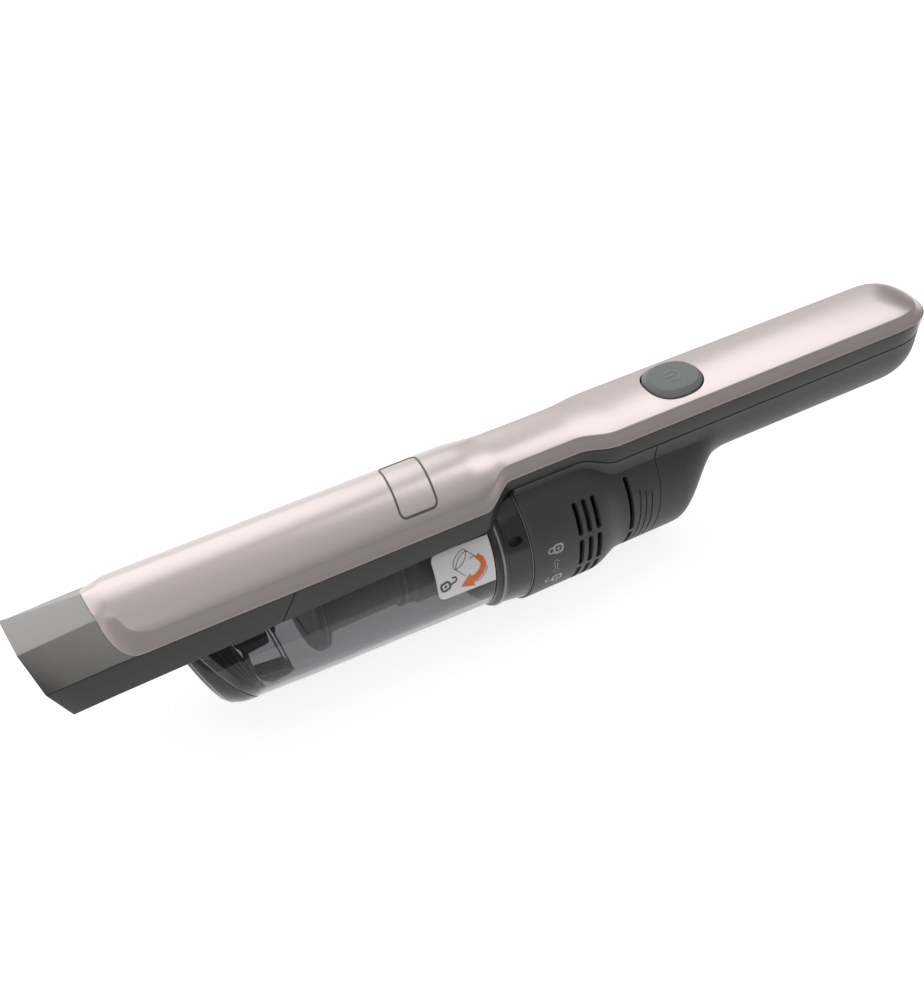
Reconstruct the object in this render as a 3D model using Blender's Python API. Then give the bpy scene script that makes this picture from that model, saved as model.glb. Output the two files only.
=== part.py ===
"""Slim cordless handheld vacuum, as separate pieces with working joints.

Design lengths are in millimetres. x runs from the mouth of the nozzle to the end of the
handle, y is the half width, and z is measured from the crease line of the front cover.
world() turns them into metres, with the vacuum standing on z = 0 and centred on x = 0.
"""
import math

import bmesh
import bpy
from mathutils import Matrix, Vector

MM = 0.001

# Driving dimensions
LENGTH = 430.0            # mouth to handle end
AXIS_Z = -39.0            # height of the bowl and motor axis
BELLY_Z = -70.5           # flat that the vacuum rests on
MOTOR_RADIUS = 32.5
REAR_RADIUS = 27.7
BOWL_RADIUS = 28.3
WALL = 2.2
GAP = 0.3                 # clearance between neighbouring pieces
HOUSING_FIT = 29.0        # radius of the round pieces held inside the motor housing

# Stations along the length
COVER_FRONT = 28.3
NOZZLE_END = 97.0
BOWL_END = 186.0
RING_END = 201.2
MOTOR_STEP = 239.0
REAR_SEAM = 268.6
DOME_START, DOME_POWER = 404.0, 2.2

# Cover sections: half width and height of the crease, rise of the crown
FRONT_HALF, FRONT_CREASE, FRONT_RISE = 18.3, 0.0, 7.5
WAIST_HALF, WAIST_CREASE, WAIST_RISE = 11.2, 4.8, 1.6
HANDLE_HALF, HANDLE_CREASE, HANDLE_RISE = 14.4, 3.2, 2.0
BAND_OUT, BAND_DROP = 3.3, 5.2
NOSE_END = 40.0           # where the cover's round front meets its sides
NOSE_STATIONS = (COVER_FRONT, 28.8, 29.5, 30.5, 32, 34, 36.3, 38, 40, 43, 46)
NOSE_HALF = 9.0           # half width of the cover where it starts
NOZZLE_TOP_HALF, NOZZLE_TOP_Z, NOZZLE_SHOULDER_Z = 7.4, 5.7, -5.5
MOUTH_TOP_HALF = 9.6      # the flat top is widest at the mouth
NOSE_BEVEL = 8.0          # length of the slope from the cover's front rim to its crown
COVER_DEPTH = 1.7         # how far the nozzle is lowered under the cover
NOSE_SINK = 1.4           # how deep the cover's front rim is set into the nozzle
MOUTH_LEAN_TOP, MOUTH_LEAN_SIDE = 0.27, 0.52   # how far the mouth slopes back per height
HANDLE_BOTTOM = -38.5
GRIP_WATERLINE = -15.0    # height at which the handle's lower half is widest
DOME_LEVEL = -18.0        # height at which the handle's end reaches furthest
COVER_WALL = 1.6

# Underside of the side strip
STRIP_FRONT_Z, STRIP_MID_Z, STRIP_REAR_Z = -21.9, -20.1, -16.2
STRIP_MID = 67.0
WAIST_STRIP_Z = -6.1
SEAM_Z = -10.8

BADGE_X = 160.0

# Power button
BUTTON_X = 291.0
BUTTON_LONG, BUTTON_WIDE = 14.0, 10.7
BUTTON_TOP_LONG, BUTTON_TOP_WIDE = 12.1, 8.6

BOWL_LEAN = 0.45          # slope of the bowl's front face, length per height
FLAP_X, FLAP_TOP = 93.8, -23.0

# Screws that hold the grip from below: place along it and level of the seat
SCREWS = [(278.0, -65.2), (411.5, -36.2)]

# Exhaust slots on each side: where the rows start, and their angles below the horizontal
VENT_ROWS, VENT_WIDTH = (224.2, 228.7, 233.2), 2.4
VENT_SPANS = ((-44.0, -17.5), (-14.0, 12.5), (17.0, 44.0))
LONG_VENT, LONG_VENT_SPAN = 253.4, (-46.0, 18.0)

# Cells, 18 mm class
CELL_RADIUS, CELL_LENGTH, CELL_FRONT = 9.2, 65.0, 276.6
LOWER_CELL_Z, UPPER_CELL_Z = -26.4, -7.7


def world(x, y, z):
    """Design millimetres to world metres."""
    return Vector(((x - LENGTH / 2) * MM, y * MM, (z - BELLY_Z) * MM))


def ease(x, start, end):
    """Smooth step from 0 at start to 1 at end."""
    t = min(max((x - start) / (end - start), 0.0), 1.0)
    return t * t * (3 - 2 * t)


def mix(a, b, t):
    return a + (b - a) * t


def along(x, front, waist, handle):
    """A value that changes at the S bend and again where the handle begins."""
    at_waist = mix(front, waist, ease(x, 185.0, 201.0))
    return mix(at_waist, handle, ease(x, 233.0, 252.0))


def read_row(rows, x):
    """Linear reading of a short station list: [(x, value, value ...)]."""
    for low, high in zip(rows, rows[1:]):
        if x <= high[0]:
            t = max((x - low[0]) / (high[0] - low[0]), 0.0)
            return [mix(a, b, t) for a, b in zip(low[1:], high[1:])]
    return list(rows[-1][1:])


def dome(x, inset=0.0):
    """1 along the body, falling to 0 at the rounded end of the handle."""
    reach = LENGTH - inset - DOME_START
    t = min(max((x - DOME_START) / reach, 0.0), 1.0)
    return (1 - t ** DOME_POWER) ** (1 / DOME_POWER)


# ---------------------------------------------------------------- building tools

def clear_scene():
    for item in list(bpy.data.objects):
        bpy.data.objects.remove(item, do_unlink=True)


def material(name, colour, roughness, metallic=0.0):
    made = bpy.data.materials.get(name)
    if made:
        return made
    made = bpy.data.materials.new(name)
    made.use_nodes = True
    shader = made.node_tree.nodes["Principled BSDF"]
    shader.inputs["Base Color"].default_value = (*colour, 1.0)
    shader.inputs["Roughness"].default_value = roughness
    shader.inputs["Metallic"].default_value = metallic
    made.diffuse_color = (*colour, 1.0)
    return made


def add_object(name, mesh_data, skin, smooth=True):
    item = bpy.data.objects.new(name, mesh_data)
    bpy.context.scene.collection.objects.link(item)
    if skin:
        mesh_data.materials.append(skin)
    if smooth:
        mesh_data.shade_smooth()
        mesh_data.set_sharp_from_angle(angle=math.radians(32))
    return item


def from_rings(name, rings, skin, wrap=False):
    """Closed solid through rings of points; wrap joins the last ring to the first."""
    count = len(rings[0])
    work = bmesh.new()
    verts = [[work.verts.new(world(*point)) for point in ring] for ring in rings]
    pairs = list(zip(verts, verts[1:]))
    if wrap:
        pairs.append((verts[-1], verts[0]))
    else:
        work.faces.new(verts[0])
        work.faces.new(list(reversed(verts[-1])))
    for first, second in pairs:
        for i in range(count):
            j = (i + 1) % count
            work.faces.new((first[j], first[i], second[i], second[j]))
    bmesh.ops.recalc_face_normals(work, faces=work.faces)
    data = bpy.data.meshes.new(name)
    work.to_mesh(data)
    work.free()
    return add_object(name, data, skin)


def circle(x, radius, z=AXIS_Z, count=32, y=0.0):
    """Ring of points round an axis along x."""
    turn = 2 * math.pi / count
    return [(x, y + radius * math.cos(i * turn), z + radius * math.sin(i * turn))
            for i in range(count)]


def turned(name, profile, skin, wrap=False, z=AXIS_Z, count=32):
    """Solid turned about an axis along x; profile is [(x, radius)]."""
    return from_rings(name, [circle(x, r, z, count) for x, r in profile], skin, wrap)


def upright(name, centre, profile, skin, wrap=False, count=16):
    """Solid turned about a vertical axis; profile is [(z, radius)]."""
    turn = 2 * math.pi / count
    rings = [[(centre[0] + r * math.cos(i * turn), centre[1] + r * math.sin(i * turn), z)
              for i in range(count)] for z, r in profile]
    return from_rings(name, rings, skin, wrap)


def box(name, low, high, skin):
    rings = []
    for x in (low[0], high[0]):
        rings.append([(x, low[1], low[2]), (x, high[1], low[2]),
                      (x, high[1], high[2]), (x, low[1], high[2])])
    return from_rings(name, rings, skin)


def oval(z, half_long, half_wide, x=BUTTON_X, count=32, power=2.7):
    """Rounded outline in plan, between an ellipse and a stadium."""
    points = []
    for i in range(count):
        c, s = math.cos(2 * math.pi * i / count), math.sin(2 * math.pi * i / count)
        points.append((x + half_long * math.copysign(abs(c) ** (2 / power), c),
                       half_wide * math.copysign(abs(s) ** (2 / power), s), z))
    return points


def cut(item, cutters, operation="DIFFERENCE"):
    """One boolean with a collection of helper solids, kept in the file as hidden wires."""
    helpers = bpy.data.collections.new("%s_%s" % (operation.lower(), item.name))
    bpy.context.scene.collection.children.link(helpers)
    for cutter in cutters:
        bpy.context.scene.collection.objects.unlink(cutter)
        helpers.objects.link(cutter)
        cutter.hide_render = True
        cutter.display_type = "WIRE"
    step = item.modifiers.new(helpers.name, "BOOLEAN")
    step.operation = operation
    step.solver = "EXACT"
    step.operand_type = "COLLECTION"
    step.collection = helpers
    return item


def set_origin(item, point):
    """Put the object's origin on its joint axis, leaving the mesh where it is."""
    shift = world(*point)
    item.data.transform(Matrix.Translation(-shift))
    item.location = shift


# ---------------------------------------------------------------- sections

def nozzle_z(y):
    """Height of the nozzle's upper surface at half width y."""
    t = max(abs(y) - NOZZLE_TOP_HALF, 0.0) / (FRONT_HALF + BAND_OUT - NOZZLE_TOP_HALF)
    return mix(NOZZLE_TOP_Z, NOZZLE_SHOULDER_Z, t)


def top_outline(x, inset=0.0):
    """Highest the shell may reach over its length: level, then falling round the end."""
    level = HANDLE_CREASE + HANDLE_RISE
    return DOME_LEVEL + (level - DOME_LEVEL) * dome(x, inset)


def cover_side(x):
    """Half width of the cover's lower edge in front, where its corners are round."""
    full = FRONT_HALF + BAND_OUT
    t = max(NOSE_END - x, 0.0) / (NOSE_END - COVER_FRONT)
    return mix(NOSE_HALF, full, math.sqrt(max(1 - t * t, 0.0)))


def cover_base(x):
    """Lower edge of the cover over the nozzle."""
    sunk = nozzle_z(cover_side(x)) - NOSE_SINK
    return mix(sunk, FRONT_CREASE - BAND_DROP, ease(x, NOSE_END - 4.0, NOSE_END + 6.0))


def cover_section(x, inset=0.0, floor=None):
    """Closed section of the top cover: band, crease, crown, crease, band.

    In front it hugs the nozzle and swells to the full crown over the nose.
    """
    half = along(x, FRONT_HALF, WAIST_HALF, HANDLE_HALF)
    crease = along(x, FRONT_CREASE, WAIST_CREASE, HANDLE_CREASE)
    top = crease + along(x, FRONT_RISE, WAIST_RISE, HANDLE_RISE)
    band = crease - BAND_DROP
    side = half + BAND_OUT
    nose = min(max((x - COVER_FRONT) / NOSE_BEVEL, 0.0), 1.0)
    lip = mix(0.4, 1.0, ease(x, COVER_FRONT, COVER_FRONT + 1.2))
    if x < NOSE_END + 6.0:
        side, band = cover_side(x), cover_base(x)
        half = side * FRONT_HALF / (FRONT_HALF + BAND_OUT)
    if x > DOME_START:
        end = dome(x)
        half, side = half * end, side * end
        crease = max(min(crease, top_outline(x) - HANDLE_RISE * end), band + 0.2)
        top = max(top_outline(x), crease + 0.1)
    half, side = half - inset, side - inset
    base = band if floor is None else floor
    left = []
    steps = 10
    for i in range(steps + 1):
        y = half * (2 * i / steps - 1)
        crown = crease + (top - crease) * (1 - abs(y / half) ** 2.4)
        left.append((x, y, mix(nozzle_z(y) + lip, crown, nose) - inset))
    return [(x, -side, base)] + left + [(x, side, base)]


def strip_bottom(x):
    """Underside of the side strip, from the nozzle to the handle seam."""
    front = mix(STRIP_FRONT_Z, STRIP_MID_Z, min(x / STRIP_MID, 1.0))
    if x > STRIP_MID:
        front = mix(STRIP_MID_Z, STRIP_REAR_Z, min((x - STRIP_MID) / (BOWL_END - STRIP_MID), 1.0))
    return along(x, front, WAIST_STRIP_Z, SEAM_Z)


def strip_half(x):
    return along(x, FRONT_HALF, WAIST_HALF, HANDLE_HALF) + BAND_OUT


def strip_top(x):
    crease = along(x, FRONT_CREASE, WAIST_CREASE, HANDLE_CREASE)
    return crease - BAND_DROP - GAP


def frame_section(x, inset=0.0, low=None, high=None):
    """Section of the main frame: a box with small lower corners."""
    half = (strip_half(x) - inset) * dome(x, inset)
    top = min(strip_top(x), top_outline(x)) if high is None else high
    bottom = strip_bottom(x) if low is None else low
    corner = min(1.5, (top - bottom) / 3)
    return [(x, -half, top), (x, -half, bottom + corner), (x, -half + corner, bottom),
            (x, half - corner, bottom), (x, half, bottom + corner), (x, half, top)]


def nozzle_section(x, inset=0.0, lean=True):
    """Section of the nozzle: flat top, wide chamfers, straight sides."""
    top, shoulder = NOZZLE_TOP_Z - inset, NOZZLE_SHOULDER_Z - inset * 0.4
    bottom = strip_bottom(x) + inset
    half_top = mix(MOUTH_TOP_HALF, NOZZLE_TOP_HALF, min(max(x / COVER_FRONT, 0.0), 1.0))
    half = FRONT_HALF + BAND_OUT - inset
    outline = [(-half_top, top), (-half, shoulder), (-half, bottom + 1.0),
               (-half + 1.0, bottom), (half - 1.0, bottom), (half, bottom + 1.0),
               (half, shoulder), (half_top, top)]
    points = []
    for y, z in outline:
        back = 0.0
        if lean:
            back = MOUTH_LEAN_TOP * (NOZZLE_TOP_Z - max(z, NOZZLE_SHOULDER_Z))
            back += MOUTH_LEAN_SIDE * max(NOZZLE_SHOULDER_Z - z, 0.0)
        points.append((x + back, y, z))
    return points


def round_section(x, radius, saddle, top, inset=0.0, lean=0.0):
    """Belly section: round below, closed above by a saddle that meets the frame."""
    radius, saddle = radius - inset, saddle - inset
    reach = math.acos(min(saddle / radius, 1.0))
    points = []
    steps = 24
    for i in range(steps + 1):
        angle = -math.pi - reach + (math.pi + 2 * reach) * i / steps
        y, z = radius * math.cos(angle), AXIS_Z + radius * math.sin(angle)
        points.append((y, max(z, BELLY_Z + inset)))
    points = [(-saddle, top)] + points + [(saddle, top)]
    return [(x + lean * (z - AXIS_Z), y, z) for y, z in points]


def bowl_radius(x):
    return mix(26.0, BOWL_RADIUS, (x - 60.0) / (BOWL_END - 60.0))


def bowl_section(x, inset=0.0, lean=0.0, shrink=0.0):
    """Bowl section: round below, flat above so that it slides under the nozzle."""
    radius = bowl_radius(x) - inset - shrink
    top = strip_bottom(max(x, 60.0)) - 0.5 - inset
    if x > BOWL_END - 1:
        top = STRIP_REAR_Z - 0.5 - inset
    reach = math.asin(min((top - AXIS_Z) / radius, 1.0))
    points = []
    steps = 28
    for i in range(steps + 1):
        angle = math.pi - reach + (math.pi + 2 * reach) * i / steps
        y, z = radius * math.cos(angle), AXIS_Z + radius * math.sin(angle)
        points.append((x + lean * (top - z), y, z))
    return points


# ---------------------------------------------------------------- outer pieces

def make_cover(skin):
    stations = [*NOSE_STATIONS, 80, 130, 185, 189, 193, 197, 201, 233, 238, 243, 248, 252,
                330, 404, 409, 414, 418, 421, 423, 424.2]
    cover = from_rings("top_cover", [cover_section(x) for x in stations], skin)
    rings = [[(20.0, y, z) for _, y, z in cover_section(COVER_FRONT, COVER_WALL, -9.0)]]
    rings += [cover_section(x, COVER_WALL, -9.0) for x in stations if x < 420]
    inside = from_rings("cut_cover_inside", rings, None)
    hole = from_rings("cut_button_hole", [oval(z, BUTTON_LONG + 0.35, BUTTON_WIDE + 0.35)
                                          for z in (-1.0, 9.0)], None)
    return cut(cover, [inside, hole])


def make_badge(skin):
    """Plain raised plate across the front cover's crown, with no marking."""
    rings = []
    for y, half in ((-14.5, 6.4), (-13.8, 7.7), (-12.6, 8.3), (-11.0, 8.3), (-7.3, 8.3),
                    (-3.7, 8.3), (0.0, 8.3)):
        rings.append(badge_ring(y, half))
    rings += [[(x, -y, z) for x, y, z in ring] for ring in rings[-2::-1]]
    return from_rings("badge", rings, skin)


def badge_ring(y, half):
    low = FRONT_CREASE + FRONT_RISE * (1 - abs(y / FRONT_HALF) ** 2.4) + GAP
    return [(BADGE_X - half, y, low), (BADGE_X + half, y, low),
            (BADGE_X + half, y, low + 0.4), (BADGE_X - half, y, low + 0.4)]


def make_nozzle(skin):
    front = from_rings("nozzle", [nozzle_section(0.0), nozzle_section(24.0)], skin)
    sides = from_rings("join_nozzle_body", [nozzle_section(x, 0.0, False)
                                            for x in (23.0, NOZZLE_END)], None)
    rings = [nozzle_section(-4.0, 1.8), nozzle_section(10.0, 2.2)]
    rings += [nozzle_section(24.0, 4.6, False)]
    rings += [nozzle_section(x, 5.2, False) for x in (40.0, NOZZLE_END - 2.5)]
    duct = from_rings("cut_nozzle_duct", rings, None)
    relief = from_rings("cut_nozzle_relief", relief_rings(), None)
    outlet = box("cut_nozzle_outlet", (77.0, -11.5, -30.0), (92.0, 11.5, -10.0), None)
    cut(front, [sides], "UNION")
    return cut(front, [duct, relief, outlet])


def relief_rings():
    """Space for the cover: everything above a ledge that follows its inner face."""
    rings = []
    for x in (27.9, *NOSE_STATIONS, NOZZLE_END + 5.0):
        near = max(x, COVER_FRONT)
        ledge = cover_base(near) - GAP
        outer = cover_side(near) + GAP if x < NOSE_END + 6.0 else 30.0
        half = cover_side(near) * FRONT_HALF / (FRONT_HALF + BAND_OUT)
        inner, level = half - 2.2, min(half - 2.8, NOZZLE_TOP_HALF)
        side = [(outer, 20.0), (outer, ledge), (inner, ledge),
                (inner - 0.5, nozzle_z(inner - 0.5) - COVER_DEPTH),
                (level, NOZZLE_TOP_Z - COVER_DEPTH)]
        ring = [(x, -y, z) for y, z in side] + [(x, y, z) for y, z in reversed(side)]
        rings.append(ring)
    return rings


def make_frame(skin):
    stations = [NOZZLE_END + GAP, 130, 160, 185, 188, 191, 194.5, 198, 201, 233, 238, 243,
                248, 252, 330, 404, 412, 418, 423, 426, 428]
    frame = from_rings("frame", [frame_section(x) for x in stations], skin)
    rings = [frame_section(99.5, WALL, strip_bottom(99.5) + WALL, 12.0)]
    rings += [frame_section(x, WALL, strip_bottom(x) + WALL, 12.0) for x in (130, 186)]
    rings += [frame_section(x, WALL, -30.0, 12.0)
              for x in (196, 203, 233, 243, 252, 404, 412, 418)]
    inside = from_rings("cut_frame_inside", rings, None)
    round_cut = turned("cut_frame_ring", [(BOWL_END + 0.05, MOTOR_RADIUS + 0.35),
                                          (238.0, MOTOR_RADIUS + 0.35)], None, count=48)
    return cut(frame, [inside, round_cut])


def motor_radius(x):
    return mix(MOTOR_RADIUS, REAR_RADIUS, ease(x, MOTOR_STEP - 4, MOTOR_STEP + 13))


def make_motor_housing(skin):
    stations = [RING_END + GAP, 233, 238, 243, 248, 252]
    rings = [belly_ring(x, 0.0) for x in stations] + [belly_ring(REAR_SEAM, 0.0, 0.12)]
    rings += [belly_ring(REAR_SEAM, WALL, 0.12)] + [belly_ring(x, WALL) for x in stations[::-1]]
    housing = from_rings("motor_housing", rings, skin, wrap=True)
    return cut(housing, vent_cutters())


def belly_ring(x, inset, lean=0.0):
    top = strip_bottom(x) - GAP - inset
    return round_section(x, motor_radius(x), strip_half(x) - 0.1, top, inset, lean)


def vent_cutters():
    """Curved exhaust slots: three rows round each side and one long slot behind them."""
    cutters = []
    for side in (0, 1):
        for row, x in enumerate(VENT_ROWS):
            for number, (low, high) in enumerate(VENT_SPANS):
                tag = "cut_vent_%d_%d_%d" % (side, row, number)
                cutters.append(arc_slot(tag, x, VENT_WIDTH, low, high, side))
        cutters.append(arc_slot("cut_long_vent_%d" % side, LONG_VENT, 2.2, *LONG_VENT_SPAN, side))
    return cutters


def arc_slot(name, x, width, low, high, side, inner=23.0, outer=36.0):
    """Slot cutter: part of a ring, its angles in degrees below the horizontal."""
    rings = []
    steps = 5
    for i in range(steps + 1):
        angle = math.radians(mix(low, high, i / steps))
        c, s = math.cos(angle), math.sin(angle)
        sign = -1 if side == 0 else 1
        ring = []
        for px, radius in ((x, inner), (x + width, inner), (x + width, outer), (x, outer)):
            ring.append((px, sign * radius * c, AXIS_Z - radius * s))
        rings.append(ring)
    return from_rings(name, rings, None)


def grip_section(x, inset=0.0, top=SEAM_Z - GAP, lean=0.0):
    """Rear housing that narrows into the handle's lower half."""
    back = ease(x, 283.0, 314.0)
    width = mix(REAR_RADIUS, HANDLE_HALF + BAND_OUT, ease(x, 281.0, 307.0))
    drop = mix(AXIS_Z - REAR_RADIUS, HANDLE_BOTTOM, neck(x))
    end = dome(x, inset)
    top = min(top, top_outline(x)) if not inset else top
    width = (width - inset) * end
    waterline = mix(AXIS_Z, GRIP_WATERLINE, back)
    drop = waterline + (drop + inset - waterline) * end ** 0.7
    saddle = min(HANDLE_HALF + BAND_OUT - inset, width) if back < 1 else width
    reach = math.acos(min(saddle / width, 1.0)) if width > saddle else 0.0
    square = mix(2.0, 2.1, back)
    points = [(x, -saddle, top)]
    steps = 20
    for i in range(steps + 1):
        angle = -math.pi - reach + (math.pi + 2 * reach) * i / steps
        c, s = math.cos(angle), math.sin(angle)
        tall = waterline - drop if s < 0 else width
        y = width * math.copysign(abs(c) ** (2 / square), c)
        z = waterline + tall * math.copysign(abs(s) ** (2 / square), s)
        points.append((x, y, min(z, top)))
    points.append((x, saddle, top))
    return [(px + lean * (pz - AXIS_Z), py, pz) for px, py, pz in points]


def neck(x):
    """Rise of the underside from the rear housing to the handle."""
    rows = [(284, 0.0), (288, 0.04), (291, 0.12), (293.5, 0.27), (295.5, 0.45), (298, 0.65),
            (302, 0.83), (308, 0.95), (318, 1.0)]
    return read_row(rows, x)[0]


def make_grip(skin):
    stations = [277, 281, 284, 287, 289.5, 292, 294.5, 297, 299.5, 302, 305, 309, 313, 318,
                404, 412, 418, 423, 426.5, 429, 429.9]
    rings = [grip_section(REAR_SEAM + GAP, lean=0.12)] + [grip_section(x) for x in stations]
    grip = from_rings("grip", rings, skin)
    hollow = [grip_section(260, WALL, 5.0)]
    hollow += [grip_section(x, WALL, 5.0) for x in stations if 280 < x < 424]
    cutters = [from_rings("cut_grip_inside", hollow, None)]
    cutters.append(turned("cut_socket", [(415, 4.0), (440, 4.0)], None, z=-24.0, count=20))
    cutters += [screw_hole(number, x, seat) for number, (x, seat) in enumerate(SCREWS)]
    return cut(grip, cutters)


# ---------------------------------------------------------------- screws

def screw_hole(number, x, seat):
    profile = [(seat - 5.0, 3.0), (seat, 3.0), (seat, 1.3), (seat + 4.0, 1.3)]
    return upright("cut_screw_%d" % number, (x, 0.0), profile, None)


def make_screws(skin):
    for number, (x, seat) in enumerate(SCREWS):
        low = seat - GAP
        profile = [(low - 1.1, 2.6), (low, 2.6), (low, 1.0), (low + 4.0, 1.0)]
        upright("screw_%d" % (number + 1), (x, 0.0), profile, skin, count=12)


# ---------------------------------------------------------------- dust bowl

def make_bowl(skin):
    front, rear = 70.0, BOWL_END
    wall = 1.8
    outer = [bowl_section(front, lean=BOWL_LEAN), bowl_section(110.0), bowl_section(rear)]
    bowl = from_rings("dust_bowl", outer, skin)
    inner = [bowl_section(front - 8, wall, BOWL_LEAN), bowl_section(110.0, wall)]
    inner.append(bowl_section(rear + 6, wall))
    inlet = box("cut_bowl_inlet", (77.0, -11.5, -26.0), (92.0, 11.5, -15.0), None)
    return cut(bowl, [from_rings("cut_bowl_inside", inner, None), inlet])


def make_bowl_cap(skin):
    """Opaque front of the bowl, a dish that follows the sloping face."""
    rings = [bowl_section(54.8, lean=BOWL_LEAN, shrink=3.2),
             bowl_section(56.2, lean=BOWL_LEAN, shrink=1.2), bowl_section(59.5, lean=BOWL_LEAN)]
    rings.append(bowl_section(70.0 - GAP, lean=BOWL_LEAN))
    rings.append(bowl_section(70.0 - GAP, 2.6, BOWL_LEAN))
    rings.append(bowl_section(60.0, 2.6, BOWL_LEAN))
    return from_rings("bowl_front_cap", rings, skin)


def make_baffle(skin):
    """Ribbed plate behind the bowl's front cap."""
    plate = from_rings("ribbed_baffle", [bowl_section(x, 3.0, BOWL_LEAN)
                                         for x in (70.8, 73.0)], skin)
    ribs = []
    for i in range(5):
        y = -16.0 + 8.0 * i
        base = 74.0 + BOWL_LEAN * 20
        ribs.append(box("join_rib_%d" % i, (base - 6, y - 0.8, -54), (base + 3.5, y + 0.8, -44),
                        None))
    cut(plate, ribs, "UNION")
    above = box("cut_baffle_top", (60.0, -30.0, -36.6), (110.0, 30.0, 0.0), None)
    return cut(plate, [above])


def make_inlet_duct(skin):
    """Short box under the bowl's inlet, open above and towards the filter."""
    top = strip_bottom(85) - 0.5 - 1.8 - GAP
    duct = box("inlet_duct", (75.6, -13.0, -36.0), (93.4, 13.0, top - 0.3), skin)
    way = box("cut_duct_way", (77.2, -11.4, -34.4), (91.8, 11.4, 0.0), None)
    mouth = box("cut_duct_mouth", (85.0, -9.5, -33.0), (99.0, 9.5, -24.5), None)
    return cut(duct, [way, mouth])


def make_flap(skin):
    flap = box("inlet_flap", (FLAP_X, -10.8, -34.4), (FLAP_X + 1.2, 10.8, FLAP_TOP), skin)
    set_origin(flap, (FLAP_X + 0.6, 0.0, FLAP_TOP))


def make_duct_seal(skin):
    """Rubber frame round the air way, under the nozzle's outlet."""
    z = strip_bottom(85) + 0.3
    outer = box("duct_seal", (78.0, -10.8, z), (91.2, 10.8, z + 2.4), skin)
    hole = box("cut_duct_seal", (79.4, -9.4, z - 5), (89.8, 9.4, z + 8), None)
    return cut(outer, [hole])


def make_label(skin):
    """Plain curved label on the bowl's side."""
    rings = []
    steps = 8
    for i in range(steps + 1):
        angle = math.radians(mix(171.0, 138.0, i / steps))
        ring = []
        for x, lift in ((160.0, 0.3), (184.5, 0.3), (184.5, 0.7), (160.0, 0.7)):
            radius = bowl_radius(x) + lift
            ring.append((x, radius * math.cos(angle), AXIS_Z + radius * math.sin(angle)))
        rings.append(ring)
    return from_rings("bowl_label", rings, skin)


def make_ring(skin):
    """Bayonet ring between the bowl and the motor housing."""
    front = BOWL_END + GAP
    profile = [(front, 28.4), (188.5, 29.8), (190.4, 30.2), (191.4, 29.4), (197.5, 30.6),
               (199.5, 31.0), (RING_END, 31.2), (RING_END, 27.5), (198.0, 21.6), (front, 21.6)]
    ring = turned("lock_ring", profile, skin, wrap=True, count=48)
    set_origin(ring, (front, 0.0, AXIS_Z))


# ---------------------------------------------------------------- filter and motor

def make_filter(shroud_skin, core_skin, rubber):
    profile = [(104.0, 16.0), (105.0, 16.8), (108.0, 16.8), (109.0, 13.6), (150.0, 13.6),
               (151.0, 15.2), (157.0, 15.2), (158.0, 16.6), (165.0, 16.6), (174.0, 18.4),
               (185.0, 18.6), (186.4, 20.8), (189.0, 20.8), (189.0, 12.0), (110.0, 12.0)]
    shroud = turned("filter_shroud", profile, shroud_skin)
    set_origin(shroud, (189.0, 0.0, AXIS_Z))
    rings = []
    for x, bore in ((112.0, False), (188.0, False), (188.0, True), (112.0, True)):
        ring = []
        for i in range(40):
            radius = 6.0 if bore else (11.5 if i % 2 else 8.8)
            angle = 2 * math.pi * i / 40
            ring.append((x, radius * math.cos(angle), AXIS_Z + radius * math.sin(angle)))
        rings.append(ring)
    core = from_rings("filter_core", rings, core_skin, wrap=True)
    set_origin(core, (189.0, 0.0, AXIS_Z))
    seal = turned("filter_seal", [(189.4, 20.8), (191.4, 20.8), (191.4, 13.0), (189.4, 13.0)],
                  rubber, wrap=True)
    set_origin(seal, (189.0, 0.0, AXIS_Z))


def make_intake(skin):
    """Guard in front of the fan: a rim, a hub and four spokes."""
    x0, x1 = 203.0, 205.0
    rim = [(x0, HOUSING_FIT), (x1, HOUSING_FIT), (x1, 21.5), (x0, 21.5)]
    guard = turned("intake_guard", rim, skin, wrap=True)
    hub = turned("join_guard_hub", [(x0, 7.0), (x1, 7.0)], None)
    level = box("join_guard_spoke_0", (x0, -22.5, AXIS_Z - 1.2), (x1, 22.5, AXIS_Z + 1.2), None)
    plumb = box("join_guard_spoke_1", (x0, -1.2, AXIS_Z - 22.5), (x1, 1.2, AXIS_Z + 22.5), None)
    return cut(guard, [hub, level, plumb], "UNION")


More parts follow.
